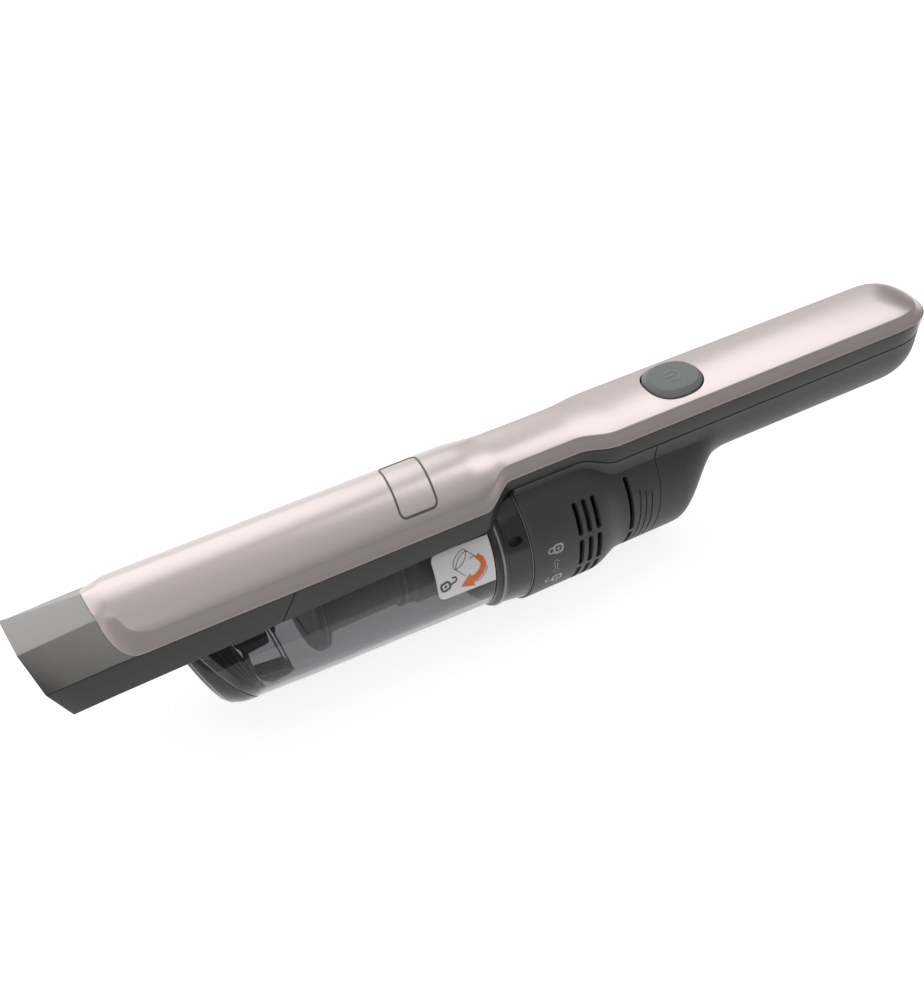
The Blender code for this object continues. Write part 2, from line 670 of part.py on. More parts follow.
def make_fan(shroud_skin, fan_skin, steel, motor_skin, rubber):
    cover = [(207.0, 22.0), (207.0, 10.0), (208.2, 10.0), (208.2, 22.0), (220.0, 24.8),
             (220.0, HOUSING_FIT), (218.6, HOUSING_FIT), (218.6, 26.0)]
    turned("fan_cover", cover, shroud_skin, wrap=True)
    hub = turned("impeller", [(217.6, 21.0), (219.0, 21.0), (219.0, 1.9), (210.0, 1.9),
                              (210.0, 5.0), (217.6, 6.0)], fan_skin, wrap=True)
    blades = []
    for i in range(9):
        blade = box("join_blade_%d" % i, (209.6, 5.0, AXIS_Z - 0.6), (217.9, 20.4, AXIS_Z + 0.6),
                    None)
        centre = world(0, 0, AXIS_Z)
        spin = Matrix.Translation(centre) @ Matrix.Rotation(2 * math.pi * i / 9, 4, "X")
        blade.data.transform(spin @ Matrix.Translation(-centre))
        blades.append(blade)
    cut(hub, blades, "UNION")
    set_origin(hub, (214.0, 0.0, AXIS_Z))
    shaft = turned("motor_shaft", [(206.6, 1.2), (207.0, 1.6), (266.0, 1.6)], steel, count=16)
    set_origin(shaft, (214.0, 0.0, AXIS_Z))
    can = [(223.0, 5.0), (225.0, 5.0), (225.0, 16.4), (259.0, 16.4), (260.5, 15.0),
           (260.5, 6.0), (263.0, 6.0), (263.0, 2.0), (223.0, 2.0)]
    turned("motor_can", can, motor_skin, wrap=True)
    turned("motor_mount", [(228.0, 16.8), (228.0, HOUSING_FIT), (233.0, HOUSING_FIT), (233.0, 16.8)],
           rubber, wrap=True)


# ---------------------------------------------------------------- button and electrics

def make_button(skin, spring_skin):
    rings = [oval(z, r, r, power=2.0) for z, r in ((-2.0, 2.0), (1.0, 2.0))]
    rings += [oval(1.0, BUTTON_LONG, BUTTON_WIDE), oval(5.1, BUTTON_LONG, BUTTON_WIDE)]
    rings += [oval(6.9, BUTTON_TOP_LONG + 0.4, BUTTON_TOP_WIDE + 0.4)]
    rings += [oval(7.2, BUTTON_TOP_LONG, BUTTON_TOP_WIDE)]
    button = from_rings("power_button", rings, skin)
    set_origin(button, (BUTTON_X, 0.0, 1.0))
    make_spring(spring_skin)


def make_spring(skin):
    """Coil under the button, shown at its free height above the board."""
    turns, per_turn, radius = 3, 14, 4.2
    path = bpy.data.curves.new("button_spring", "CURVE")
    path.dimensions = "3D"
    line = path.splines.new("POLY")
    line.points.add(turns * per_turn)
    for i in range(turns * per_turn + 1):
        angle = 2 * math.pi * i / per_turn
        z = mix(-3.6, 0.3, i / (turns * per_turn))
        spot = world(BUTTON_X + radius * math.cos(angle), radius * math.sin(angle), z)
        line.points[i].co = (*spot, 1.0)
    path.bevel_depth = 0.35 * MM
    path.bevel_resolution = 1
    path.use_fill_caps = True
    path.materials.append(skin)
    spring = bpy.data.objects.new("button_spring", path)
    bpy.context.scene.collection.objects.link(spring)


def make_electrics(skins):
    box("control_board", (256.0, -12.0, -8.4), (341.4, 12.0, -6.8), skins["board"])
    box("tact_switch", (BUTTON_X - 2.4, -2.4, -6.5), (BUTTON_X + 2.4, 2.4, -3.7), skins["black"])
    second = CELL_FRONT + CELL_LENGTH + 1.4
    ends = [("cell_1", CELL_FRONT, LOWER_CELL_Z), ("cell_2", second, LOWER_CELL_Z),
            ("cell_3", second, UPPER_CELL_Z)]
    for name, x, z in ends:
        profile = [(x, 8.4), (x + 0.8, CELL_RADIUS), (x + CELL_LENGTH - 2.8, CELL_RADIUS),
                   (x + CELL_LENGTH - 2.0, 8.4), (x + CELL_LENGTH - 2.0, 3.0),
                   (x + CELL_LENGTH, 3.0)]
        turned(name, profile, skins["cell"], z=z, count=24)
    box("cell_link", (second - 0.9, -4.0, -31.0), (second - 0.5, 4.0, -3.0), skins["nickel"])
    socket = [(417.6, 3.6), (427.6, 3.6), (427.6, 1.6), (417.6, 1.6)]
    turned("charge_socket", socket, skins["black"], wrap=True, z=-24.0, count=20)
    for name, y in (("motor_wire_1", -6.0), ("motor_wire_2", 6.0)):
        wire(name, [(274.4, y, -9.6), (274.4, y, -24.0), (273.0, y, -31.0),
                    (269.5, y, -36.0), (264.5, y, -37.5)], skins["wire"])


def wire(name, route, skin):
    path = bpy.data.curves.new(name, "CURVE")
    path.dimensions = "3D"
    line = path.splines.new("POLY")
    line.points.add(len(route) - 1)
    for point, spot in zip(line.points, route):
        point.co = (*world(*spot), 1.0)
    path.bevel_depth = 0.9 * MM
    path.bevel_resolution = 1
    path.use_fill_caps = True
    path.materials.append(skin)
    item = bpy.data.objects.new(name, path)
    bpy.context.scene.collection.objects.link(item)


def main():
    clear_scene()
    rose = material("rose_metallic", (0.62, 0.50, 0.48), 0.32, 0.75)
    dark = material("dark_grey", (0.055, 0.055, 0.052), 0.42)
    charcoal = material("charcoal", (0.045, 0.045, 0.045), 0.5)
    gloss = material("gloss_black", (0.02, 0.02, 0.021), 0.12)
    clear = material("smoke_clear", (0.35, 0.35, 0.36), 0.08)
    pale = material("label_white", (0.85, 0.85, 0.85), 0.5)
    grey = material("filter_grey", (0.22, 0.22, 0.22), 0.5)
    cloth = material("filter_cloth", (0.75, 0.74, 0.70), 0.95)
    rubber = material("rubber", (0.03, 0.03, 0.03), 0.8)
    steel = material("steel", (0.6, 0.6, 0.6), 0.3, 1.0)
    motor = material("motor_steel", (0.35, 0.35, 0.36), 0.35, 1.0)
    plate = material("badge_grey", (0.16, 0.15, 0.15), 0.45, 0.3)
    skins = {"board": material("board_green", (0.03, 0.16, 0.06), 0.5),
             "black": material("connector_black", (0.02, 0.02, 0.02), 0.5),
             "cell": material("cell_sleeve", (0.10, 0.22, 0.45), 0.35),
             "nickel": material("nickel", (0.6, 0.58, 0.54), 0.3, 1.0),
             "wire": material("wire_red", (0.45, 0.03, 0.03), 0.5)}
    make_cover(rose)
    make_badge(plate)
    make_nozzle(dark)
    make_frame(dark)
    make_motor_housing(charcoal)
    make_grip(charcoal)
    make_screws(steel)
    make_bowl(clear)
    make_bowl_cap(gloss)
    make_baffle(gloss)
    make_inlet_duct(clear)
    make_flap(rubber)
    make_duct_seal(rubber)
    make_label(pale)
    make_ring(gloss)
    make_filter(grey, cloth, rubber)
    make_intake(charcoal)
    make_fan(charcoal, grey, steel, motor, rubber)
    make_button(charcoal, steel)
    make_electrics(skins)


main()
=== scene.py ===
"""Looks for the slim cordless handheld vacuum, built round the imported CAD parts.

Design lengths are in millimetres: x runs from the nozzle mouth to the handle end, y is the
half width and z is measured from the crease of the front cover. world() gives metres.
"""

import math

import bmesh
import bpy
from mathutils import Matrix, Vector

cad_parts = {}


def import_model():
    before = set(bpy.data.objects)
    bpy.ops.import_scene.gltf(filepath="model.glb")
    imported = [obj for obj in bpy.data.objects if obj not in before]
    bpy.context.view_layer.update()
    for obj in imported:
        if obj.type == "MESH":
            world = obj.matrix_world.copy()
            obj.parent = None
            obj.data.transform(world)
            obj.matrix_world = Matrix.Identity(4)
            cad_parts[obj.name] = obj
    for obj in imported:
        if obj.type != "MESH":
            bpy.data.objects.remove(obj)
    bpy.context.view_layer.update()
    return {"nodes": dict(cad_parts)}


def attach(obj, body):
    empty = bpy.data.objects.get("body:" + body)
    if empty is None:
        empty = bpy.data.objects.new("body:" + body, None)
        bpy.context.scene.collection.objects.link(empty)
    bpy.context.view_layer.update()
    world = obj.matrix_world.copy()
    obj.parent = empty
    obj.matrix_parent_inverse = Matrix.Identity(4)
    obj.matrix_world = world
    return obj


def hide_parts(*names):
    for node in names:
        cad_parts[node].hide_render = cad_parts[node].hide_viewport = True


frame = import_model()

MM = 0.001
LENGTH, AXIS_Z, BELLY_Z = 430.0, -39.0, -70.5
FRONT_HALF, FRONT_CREASE, FRONT_RISE = 18.3, 0.0, 7.5
WAIST_HALF, WAIST_CREASE, WAIST_RISE = 11.2, 4.8, 1.6
HANDLE_HALF, HANDLE_CREASE, HANDLE_RISE = 14.4, 3.2, 2.0
BAND_OUT, BAND_DROP = 3.3, 5.2
GAP = 0.3
NOZZLE_END, BOWL_END, RING_END, REAR_SEAM = 97.0, 186.0, 201.2, 268.6
MOTOR_RADIUS, REAR_RADIUS = 32.5, 27.7
NOZZLE_TOP_HALF, MOUTH_TOP_HALF, NOZZLE_TOP_Z, SHOULDER_Z = 7.4, 9.6, 5.7, -5.5
HANDLE_BOTTOM, GRIP_WATERLINE = -38.5, -15.0
BUTTON_X = 291.0
HOUSING_FRONT = 202.4
NOZZLE_FACE = 28.3              # where the front of the cover meets the nozzle's top
FRONT_CENTRE = 50.0             # middle of the cover's rounded front, at its crease
DOME_START, CREASE_DOME = 404.0, 403.5      # where the handle's end begins, edge and crease
COVER_REACH, CREASE_REACH = 25.3, 21.8
FRAME_REACH, GRIP_REACH = 23.6, 24.4
STRIP_KINK = 67.0               # the frame's lower edge turns up here
CAP_JOINT = 60.0                # seam between the bowl's cap and its clear wall
CAP_LEAN = 0.64
SEAM_PIVOT_Z = -13.0
TIP_DROP = 19.0                 # how far the cover wraps down over the end of the handle
BUTTON_TOP = 7.2
LIGHT_TARGET = (0, 0, 0.03)
CAMERA_PLACE, CAMERA_LENS = (-62.034, -405.538, 422.156), 56.92
CAMERA_ANGLES = (-31.508, 42.643, 0.623)    # degrees round, above the floor and of roll
FLOOR_HALF = 30.0


def world(x, y, z):
    return Vector(((x - LENGTH / 2) * MM, y * MM, (z - BELLY_Z) * MM))


def ease(x, start, end):
    t = min(max((x - start) / (end - start), 0.0), 1.0)
    return t * t * (3 - 2 * t)


def mix(a, b, t):
    return a + (b - a) * t


def along(x, front, waist, handle):
    """A value that changes at the S bend and again where the handle begins."""
    return mix(mix(front, waist, ease(x, 185.0, 201.0)), handle, ease(x, 233.0, 252.0))


def read_row(rows, x):
    for low, high in zip(rows, rows[1:]):
        if x <= high[0]:
            t = max((x - low[0]) / (high[0] - low[0]), 0.0)
            return mix(low[1], high[1], t)
    return rows[-1][1]


def steps_between(low, high, count):
    return [mix(low, high, i / count) for i in range(count + 1)]


def super_arc(turn, power):
    """Point on a unit superellipse: share along, share across."""
    c, s = abs(math.cos(turn)), abs(math.sin(turn))
    return s ** (2 / power), c ** (2 / power)


# ---------------------------------------------------------------- materials

def finish(name, colour, rough, metal=0.0, vary=0.05, grain=1500.0, bump=0.05, coat=0.0,
           spread=0.05, clear=0.0, ior=1.45, wear=0.0, gloss=0.5, top=None):
    """Principled finish with a fine grain in its colour, roughness and surface."""
    made = bpy.data.materials.new(name)
    made.use_nodes = True
    nodes, links = made.node_tree.nodes, made.node_tree.links
    shader = nodes["Principled BSDF"]
    place = nodes.new("ShaderNodeTexCoord")
    fine = nodes.new("ShaderNodeTexNoise")
    fine.inputs["Scale"].default_value = grain
    fine.inputs["Detail"].default_value = 3.0
    broad = nodes.new("ShaderNodeTexNoise")
    broad.inputs["Scale"].default_value = 35.0
    broad.inputs["Detail"].default_value = 4.0
    links.new(place.outputs["Object"], fine.inputs["Vector"])
    links.new(place.outputs["Object"], broad.inputs["Vector"])
    ramp = nodes.new("ShaderNodeValToRGB")
    for stop, share in zip(ramp.color_ramp.elements, (1 - vary, 1 + vary)):
        stop.color = (*[min(c * share, 1.0) for c in colour], 1.0)
    ramp.color_ramp.elements[0].position = 0.3
    ramp.color_ramp.elements[1].position = 0.7
    links.new(fine.outputs["Fac"], ramp.inputs["Fac"])
    tint = ramp.outputs["Color"]
    if wear:
        tint = worn(nodes, links, tint, broad, wear)
    # top: paler colour mixed in on up-facing faces, painted light from above
    if top:
        tint = painted_top_light(nodes, links, tint, top)
    links.new(tint, shader.inputs["Base Color"])
    shine = nodes.new("ShaderNodeMapRange")
    shine.inputs["To Min"].default_value = max(rough - spread, 0.0)
    shine.inputs["To Max"].default_value = rough + spread
    links.new(broad.outputs["Fac"], shine.inputs["Value"])
    links.new(shine.outputs["Result"], shader.inputs["Roughness"])
    relief = nodes.new("ShaderNodeBump")
    relief.inputs["Strength"].default_value = bump
    relief.inputs["Distance"].default_value = 0.0001
    links.new(fine.outputs["Fac"], relief.inputs["Height"])
    links.new(relief.outputs["Normal"], shader.inputs["Normal"])
    shader.inputs["Metallic"].default_value = metal
    shader.inputs["Coat Weight"].default_value = coat
    shader.inputs["Coat Roughness"].default_value = 0.08
    shader.inputs["Transmission Weight"].default_value = clear
    shader.inputs["Specular IOR Level"].default_value = gloss
    shader.inputs["IOR"].default_value = ior
    return made


def worn(nodes, links, tint, broad, wear):
    """Edges a little lighter, where hands rub them."""
    edge = nodes.new("ShaderNodeNewGeometry")
    keep = nodes.new("ShaderNodeMapRange")
    keep.inputs["From Min"].default_value = 0.52
    keep.inputs["From Max"].default_value = 0.62
    keep.inputs["To Max"].default_value = wear
    links.new(edge.outputs["Pointiness"], keep.inputs["Value"])
    patch = nodes.new("ShaderNodeMath")
    patch.operation = "MULTIPLY"
    links.new(keep.outputs["Result"], patch.inputs[0])
    links.new(broad.outputs["Fac"], patch.inputs[1])
    lift = nodes.new("ShaderNodeMixRGB")
    lift.blend_type = "SCREEN"
    lift.inputs["Color2"].default_value = (0.6, 0.6, 0.6, 1.0)
    links.new(patch.outputs["Value"], lift.inputs["Fac"])
    links.new(tint, lift.inputs["Color1"])
    return lift.outputs["Color"]


def painted_top_light(nodes, links, tint, top):
    """Faces that look up are painted paler, a painted highlight standing in for the light from
    above.
    """
    facing = nodes.new("ShaderNodeNewGeometry")
    split = nodes.new("ShaderNodeSeparateXYZ")
    links.new(facing.outputs["Normal"], split.inputs["Vector"])
    keep = nodes.new("ShaderNodeMapRange")
    keep.interpolation_type = "SMOOTHSTEP"
    keep.inputs["From Min"].default_value = 0.53
    keep.inputs["From Max"].default_value = 1.0
    links.new(split.outputs["Z"], keep.inputs["Value"])
    lift = nodes.new("ShaderNodeMixRGB")
    lift.inputs["Color2"].default_value = (*top, 1.0)
    links.new(keep.outputs["Result"], lift.inputs["Fac"])
    links.new(tint, lift.inputs["Color1"])
    return lift.outputs["Color"]


SKINS = {
    "rose_cover": finish("rose_satin", (0.60, 0.525, 0.515), 0.30, 0.80, 0.035, 4200.0, 0.03,
                         coat=0.1, spread=0.02),
    "badge": finish("badge_line", (0.11, 0.105, 0.105), 0.4, 0.2, 0.08, 2500.0, 0.04),
    "dark_body": finish("dark_plastic", (0.028, 0.028, 0.027), 0.30, 0.0, 0.08, 3200.0, 0.08,
                        wear=0.05, gloss=0.36),
    "charcoal_body": finish("charcoal_plastic", (0.060, 0.060, 0.061), 0.42, 0.0, 0.10, 3000.0,
                            0.12, wear=0.05, gloss=0.28),
    "gloss_trim": finish("gloss_black", (0.030, 0.030, 0.031), 0.17, 0.0, 0.10, 500.0, 0.002,
                         coat=0.12, spread=0.02, gloss=0.42),
    "smoke_clear": finish("smoke_clear", (0.40, 0.40, 0.405), 0.03, 0.0, 0.01, 400.0, 0.005,
                          spread=0.01, clear=1.0, ior=1.38),
    "label": finish("label_white", (0.66, 0.65, 0.65), 0.35, 0.0, 0.015, 1200.0, 0.02),
    "filter_frame": finish("filter_grey", (0.62, 0.62, 0.625), 0.30, 0.0, 0.08, 1500.0, 0.06),
    "filter_media": finish("filter_cloth", (0.62, 0.61, 0.57), 0.95, 0.0, 0.12, 2600.0, 0.6),
    "soft_rubber": finish("soft_rubber", (0.02, 0.02, 0.02), 0.75, 0.0, 0.15, 2500.0, 0.3),
    "steel": finish("brushed_steel", (0.55, 0.55, 0.56), 0.28, 1.0, 0.06, 2200.0, 0.08),
    "motor_steel": finish("motor_steel", (0.32, 0.32, 0.34), 0.35, 1.0, 0.10, 900.0, 0.12),
    "board": finish("board_green", (0.02, 0.12, 0.05), 0.45, 0.0, 0.20, 700.0, 0.1),
    "connector": finish("connector_black", (0.015, 0.015, 0.015), 0.5, 0.0, 0.1, 2000.0, 0.1),
    "cell_sleeve": finish("cell_sleeve", (0.06, 0.16, 0.36), 0.3, 0.0, 0.05, 500.0, 0.03),
    "nickel": finish("nickel", (0.60, 0.58, 0.54), 0.3, 1.0, 0.05, 2500.0, 0.08),
    "wire": finish("wire_red", (0.42, 0.02, 0.02), 0.45, 0.0, 0.08, 1500.0, 0.06),
}
BUTTON_SKIN = finish("button_grey", (0.20, 0.205, 0.204), 0.38, 0.0, 0.08, 3200.0, 0.10)
ICON_DARK = finish("icon_dark", (0.09, 0.09, 0.092), 0.45, 0.0, 0.1, 2000.0, 0.05)
ICON_PALE = finish("icon_pale", (0.30, 0.30, 0.31), 0.45, 0.0, 0.08, 2200.0, 0.05)
POWER_MARK = finish("power_mark", (0.27, 0.275, 0.275), 0.4, 0.0, 0.08, 2200.0, 0.05)
ORANGE = finish("icon_orange", (0.62, 0.145, 0.03), 0.4, 0.0, 0.06, 1800.0, 0.05)
# Nozzle plastic whose up-facing faces are painted paler: painted light from above.
NOZZLE_SKIN = finish("nozzle_plastic", (0.028, 0.028, 0.027), 0.28, 0.0, 0.08, 3200.0, 0.08,
                     wear=0.05, gloss=0.36, top=(0.45, 0.446, 0.436))
# Lighter grey for thin lines on glossy black edges: painted highlights.
HIGHLIGHT_PAINT = finish("painted_highlight", (0.20, 0.20, 0.205), 0.18, 0.3, 0.06, 1500.0, 0.03, coat=0.4)
PALE_RIM = finish("filter_rim", (0.85, 0.85, 0.85), 0.3, 0.0, 0.05, 1500.0, 0.04)
# Near-black fill for gaps and openings: painted shade.
SHADE_FILL = finish("shadow_gap", (0.008, 0.008, 0.008), 0.6, 0.0, 0.2, 1500.0, 0.1)


# ---------------------------------------------------------------- mesh tools

def add_piece(name, work, skin, body, sharp=32.0, nodes=()):
    bmesh.ops.remove_doubles(work, verts=work.verts, dist=2e-6)
    bmesh.ops.recalc_face_normals(work, faces=work.faces)
    data = bpy.data.meshes.new(name)
    work.to_mesh(data)
    work.free()
    data.shade_smooth()
    if sharp:
        data.set_sharp_from_angle(angle=math.radians(sharp))
    data.materials.append(skin)
    item = bpy.data.objects.new(name, data)
    bpy.context.scene.collection.objects.link(item)
    if body:
        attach(item, body)
    if nodes:
        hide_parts(*nodes)
    return item


def loft(work, rings, wrap=False, caps=True, closed=True):
    """Skin through rings of design points; closed rings go round, open ones do not."""
    verts = [[work.verts.new(world(*p)) for p in ring] for ring in rings]
    count = len(rings[0])
    pairs = list(zip(verts, verts[1:]))
    if wrap:
        pairs.append((verts[-1], verts[0]))
    elif caps:
        work.faces.new(verts[0])
        work.faces.new(list(reversed(verts[-1])))
    last = count if closed else count - 1
    for first, second in pairs:
        for i in range(last):
            j = (i + 1) % count
            work.faces.new((first[i], first[j], second[j], second[i]))
    return verts


def lofted(name, rings, slot, body, nodes=(), wrap=False, sharp=32.0, skin=None):
    work = bmesh.new()
    loft(work, rings, wrap)
    return add_piece(name, work, skin or SKINS[slot], body, sharp, nodes)


def rounded(corners, radius, steps=4):
    """Closed outline of (y, z) corners with each corner turned into a small arc."""
    made = []
    count = len(corners)
    for i, (y, z) in enumerate(corners):
        before, after = Vector(corners[i - 1]), Vector(corners[(i + 1) % count])
        here = Vector((y, z))
        back, ahead = before - here, after - here
        half_angle = back.angle(ahead) / 2
        cut = min(radius / math.tan(half_angle), back.length * 0.45, ahead.length * 0.45)
        start, end = here + back.normalized() * cut, here + ahead.normalized() * cut
        for k in range(steps + 1):
            t = k / steps
            spot = start * (1 - t) ** 2 + here * 2 * t * (1 - t) + end * t * t
            made.append((spot.x, spot.y))
    return made


def circle(x, radius, count=96, z=AXIS_Z, lean=0.0):
    turn = 2 * math.pi / count
    return [(x + lean * radius * math.sin(i * turn), radius * math.cos(i * turn),
             z + radius * math.sin(i * turn)) for i in range(count)]


def turned(name, profile, slot, body, nodes=(), count=96, z=AXIS_Z, radius=0.5, skin=None):
    """Ring-shaped solid turned about an axis along x; the profile is a closed outline."""
    rings = [circle(x, r, count, z) for x, r in rounded(profile, radius, 3)]
    return lofted(name, rings, slot, body, nodes, wrap=True, sharp=40.0, skin=skin)


def helper(name, rings):
    """Hidden solid for a boolean."""
    work = bmesh.new()
    loft(work, rings)
    bmesh.ops.recalc_face_normals(work, faces=work.faces)
    data = bpy.data.meshes.new(name)
    work.to_mesh(data)
    work.free()
    return data


def carve(item, cutters):
    """Cut helper solids out of a piece and keep only the result."""
    group = bpy.data.collections.new("carve_" + item.name)
    bpy.context.scene.collection.children.link(group)
    made = []
    for number, rings in enumerate(cutters):
        tool = bpy.data.objects.new("tool_%d" % number, helper("tool_%d" % number, rings))
        group.objects.link(tool)
        made.append(tool)
    step = item.modifiers.new("carve", "BOOLEAN")
    step.operation = "DIFFERENCE"
    step.solver = "EXACT"
    step.operand_type = "COLLECTION"
    step.collection = group
    bpy.context.view_layer.update()
    depsgraph = bpy.context.evaluated_depsgraph_get()
    result = bpy.data.meshes.new_from_object(item.evaluated_get(depsgraph))
    item.modifiers.clear()
    skin = item.data.materials[0]
    item.data = result
    item.data.materials.clear()
    item.data.materials.append(skin)
    for tool in made:
        bpy.data.objects.remove(tool, do_unlink=True)
    bpy.data.collections.remove(group)
    item.data.shade_smooth()
    item.data.set_sharp_from_angle(angle=math.radians(32))
    return item


def soften(item, width=0.25, segments=2, angle=35.0):
    step = item.modifiers.new("soften", "BEVEL")
    step.width = width * MM
    step.segments = segments
    step.limit_method = "ANGLE"
    step.angle_limit = math.radians(angle)
    step.harden_normals = False
    return item


# ---------------------------------------------------------------- sections

def nozzle_z(y):
    t = max(abs(y) - NOZZLE_TOP_HALF, 0.0) / (FRONT_HALF + BAND_OUT - NOZZLE_TOP_HALF)
    return mix(NOZZLE_TOP_Z, SHOULDER_Z, t)


def strip_bottom(x):
    front = mix(-21.9, -20.1, min(x / STRIP_KINK, 1.0))
    if x > STRIP_KINK:
        front = mix(-20.1, -16.2, min((x - STRIP_KINK) / (BOWL_END - STRIP_KINK), 1.0))
    return along(x, front, -6.1, -10.8)


def strip_top(x):
    return along(x, FRONT_CREASE, WAIST_CREASE, HANDLE_CREASE) - BAND_DROP - GAP


def strip_half(x):
    return along(x, FRONT_HALF, WAIST_HALF, HANDLE_HALF) + BAND_OUT


def motor_radius(x):
    return mix(MOTOR_RADIUS, REAR_RADIUS, ease(x, 235.0, 252.0))


def bowl_radius(x):
    return mix(26.0, 28.3, (x - CAP_JOINT) / (BOWL_END - CAP_JOINT))


STATIONS = (
    steps_between(80, 175, 6) + steps_between(179, 205, 20) + steps_between(212, 229, 3)
    + steps_between(231, 256, 20) + steps_between(270, 396, 9)
)
DOME_STEPS = 14


# ---------------------------------------------------------------- cover

def crown_z(x, y):
    half = along(x, FRONT_HALF, WAIST_HALF, HANDLE_HALF)
    crease = along(x, FRONT_CREASE, WAIST_CREASE, HANDLE_CREASE)
    rise = along(x, FRONT_RISE, WAIST_RISE, HANDLE_RISE)
    return crease + rise * (1 - min(abs(y) / half, 1.0) ** 2.4)


def cover_rails():
    """Near half of the cover: pairs of outer edge and crease points, front to rear."""
    pairs = []
    for i in range(17):
        turn = math.pi / 2 * (i / 16) ** 1.15
        across, back = super_arc(turn, 2.6)
        outer = (40.0 - 11.7 * back, 21.6 * across)
        across, back = super_arc(turn, 3.0)
        inner = (FRONT_CENTRE - 15.5 * back, FRONT_HALF * across)
        pairs.append(((*outer, nozzle_z(outer[1]) + 0.25), (*inner, crown_z(60.0, inner[1]))))
    for share in (0.33, 0.66):
        pairs.append(((mix(40, 80, share), 21.6, -BAND_DROP),
                      (mix(FRONT_CENTRE, 80, share), FRONT_HALF, 0.0)))
    for x in STATIONS:
        crease = along(x, FRONT_CREASE, WAIST_CREASE, HANDLE_CREASE)
        half = along(x, FRONT_HALF, WAIST_HALF, HANDLE_HALF)
        pairs.append(((x, half + BAND_OUT, crease - BAND_DROP), (x, half, crease)))
    for i in range(DOME_STEPS + 1):
        turn = math.pi / 2 * i / DOME_STEPS
        reach, wide = super_arc(turn, 2.6)
        outer = (DOME_START + COVER_REACH * reach, 17.7 * wide, -2.0)
        reach, wide = super_arc(turn, 2.3)
        inner = (CREASE_DOME + CREASE_REACH * reach, HANDLE_HALF * wide,
                 HANDLE_CREASE - 2.2 * reach ** 3)
        pairs.append((outer, inner))
    return pairs


def crown_point(inner, share):
    """Point of the crown at a share of the way from the spine to the crease."""
    x, y, z = inner
    if x < FRONT_CENTRE:
        px, py = FRONT_CENTRE - (FRONT_CENTRE - x) * share, y * share
        return (px, py, crown_z(60.0, py))
    if x > CREASE_DOME:
        lift = HANDLE_RISE * (1 - share ** 2.4)
        return (CREASE_DOME + (x - CREASE_DOME) * share, y * share,
                mix(HANDLE_CREASE, z, share ** 2) + lift)
    return (x, y * share, crown_z(x, y * share))


def lower(point, drop):
    return (point[0], point[1], point[2] - drop)


def shrink(point, amount):
    """Point moved in towards the middle of the cover, in plan."""
    x, y, z = point
    dx = min(x - FRONT_CENTRE, 0.0) + max(x - CREASE_DOME, 0.0)
    length = max(math.hypot(dx, y), 1e-6)
    return (x - dx / length * amount, y - y / length * amount, z)


def cover_loops():
    """Half loops of the cover: under the crown, down the skirt, up the band, over the crown."""
    rails = cover_rails()
    loops = []
    for share in (0.0, 0.35, 0.7, 0.92):
        loops.append([lower(crown_point(i, share), 1.6) for _, i in rails])
    loops.append([lower(shrink(i, 1.2), 1.7) for _, i in rails])
    skirt = [lower(o, TIP_DROP * ease((o[0] - DOME_START) / COVER_REACH, 0.83, 0.97))
             for o, _ in rails]
    loops.append([shrink(o, 1.5) for o in skirt])
    loops.append([shrink(o, 0.12) for o in skirt])
    loops.append(skirt)
    loops.append([tuple(mix(a, b, 0.7) for a, b in zip(k, lower(o, -0.12)))
                  for k, (o, _) in zip(skirt, rails)])
    loops.append([lower(o, -0.12) for o, _ in rails])
    for share in (0.06, 0.5, 0.90, 0.965):
        loops.append([tuple(mix(a, b, share) for a, b in zip(o, i)) for o, i in rails])
    for share in (0.988, 0.965, 0.92, 0.85, 0.74, 0.62, 0.48, 0.34, 0.2, 0.08, 0.0):
        loops.append([crown_point(i, share) for _, i in rails])
    return loops


def make_cover():
    work = bmesh.new()
    full = []
    for loop in cover_loops():
        near = [(x, -y, z) for x, y, z in loop]
        full.append(near + [(x, y, z) for x, y, z in reversed(loop)])
    loft(work, full, caps=False)
    bmesh.ops.remove_doubles(work, verts=work.verts, dist=2e-6)
    cover = add_piece("cover_shell", work, SKINS["rose_cover"], None, 50.0)
    hole = [oval(z, 13.9, 11.3) for z in (-3.0, 12.0)]
    carve(cover, [hole])
    cover.data.set_sharp_from_angle(angle=math.radians(50))
    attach(cover, "main")
    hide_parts("top_cover")
    soften(cover, 0.3, 2, 60.0)


def oval(z, half_long, half_wide, count=64, power=2.4, x=BUTTON_X - 0.4):
    """Superellipse round the button, at height z."""
    points = []
    for i in range(count):
        c, s = math.cos(2 * math.pi * i / count), math.sin(2 * math.pi * i / count)
        points.append((x + half_long * math.copysign(abs(c) ** (2 / power), c),
                       half_wide * math.copysign(abs(s) ** (2 / power), s), z))
    return points


# ---------------------------------------------------------------- nozzle, frame, grip

def nozzle_ring(x, inset=0.0, lean=True, radius=1.0, seam=0.0):
    near_face = min(max(x / NOZZLE_FACE, 0.0), 1.0)
    top = NOZZLE_TOP_Z - inset
    shoulder = mix(-6.6, SHOULDER_Z, near_face) - inset * 0.4
    bottom = strip_bottom(x) + inset
    half_top = mix(MOUTH_TOP_HALF, NOZZLE_TOP_HALF, near_face)
    half = FRONT_HALF + BAND_OUT - inset
    corners = [(-half_top, top), (-half, shoulder), (-half, bottom), (half, bottom),
               (half, shoulder), (half_top, top)]
    points = []
    for y, z in rounded(corners, radius):
        back = 0.0
        if lean:
            back = 0.33 * (NOZZLE_TOP_Z - max(z, SHOULDER_Z)) + 0.52 * max(SHOULDER_Z - z, 0.0)
            back = (back - 1.5) * (1 - min(x / NOZZLE_FACE, 1.0))
        points.append((x + back + seam * (z - SEAM_PIVOT_Z), y, z))
    return points


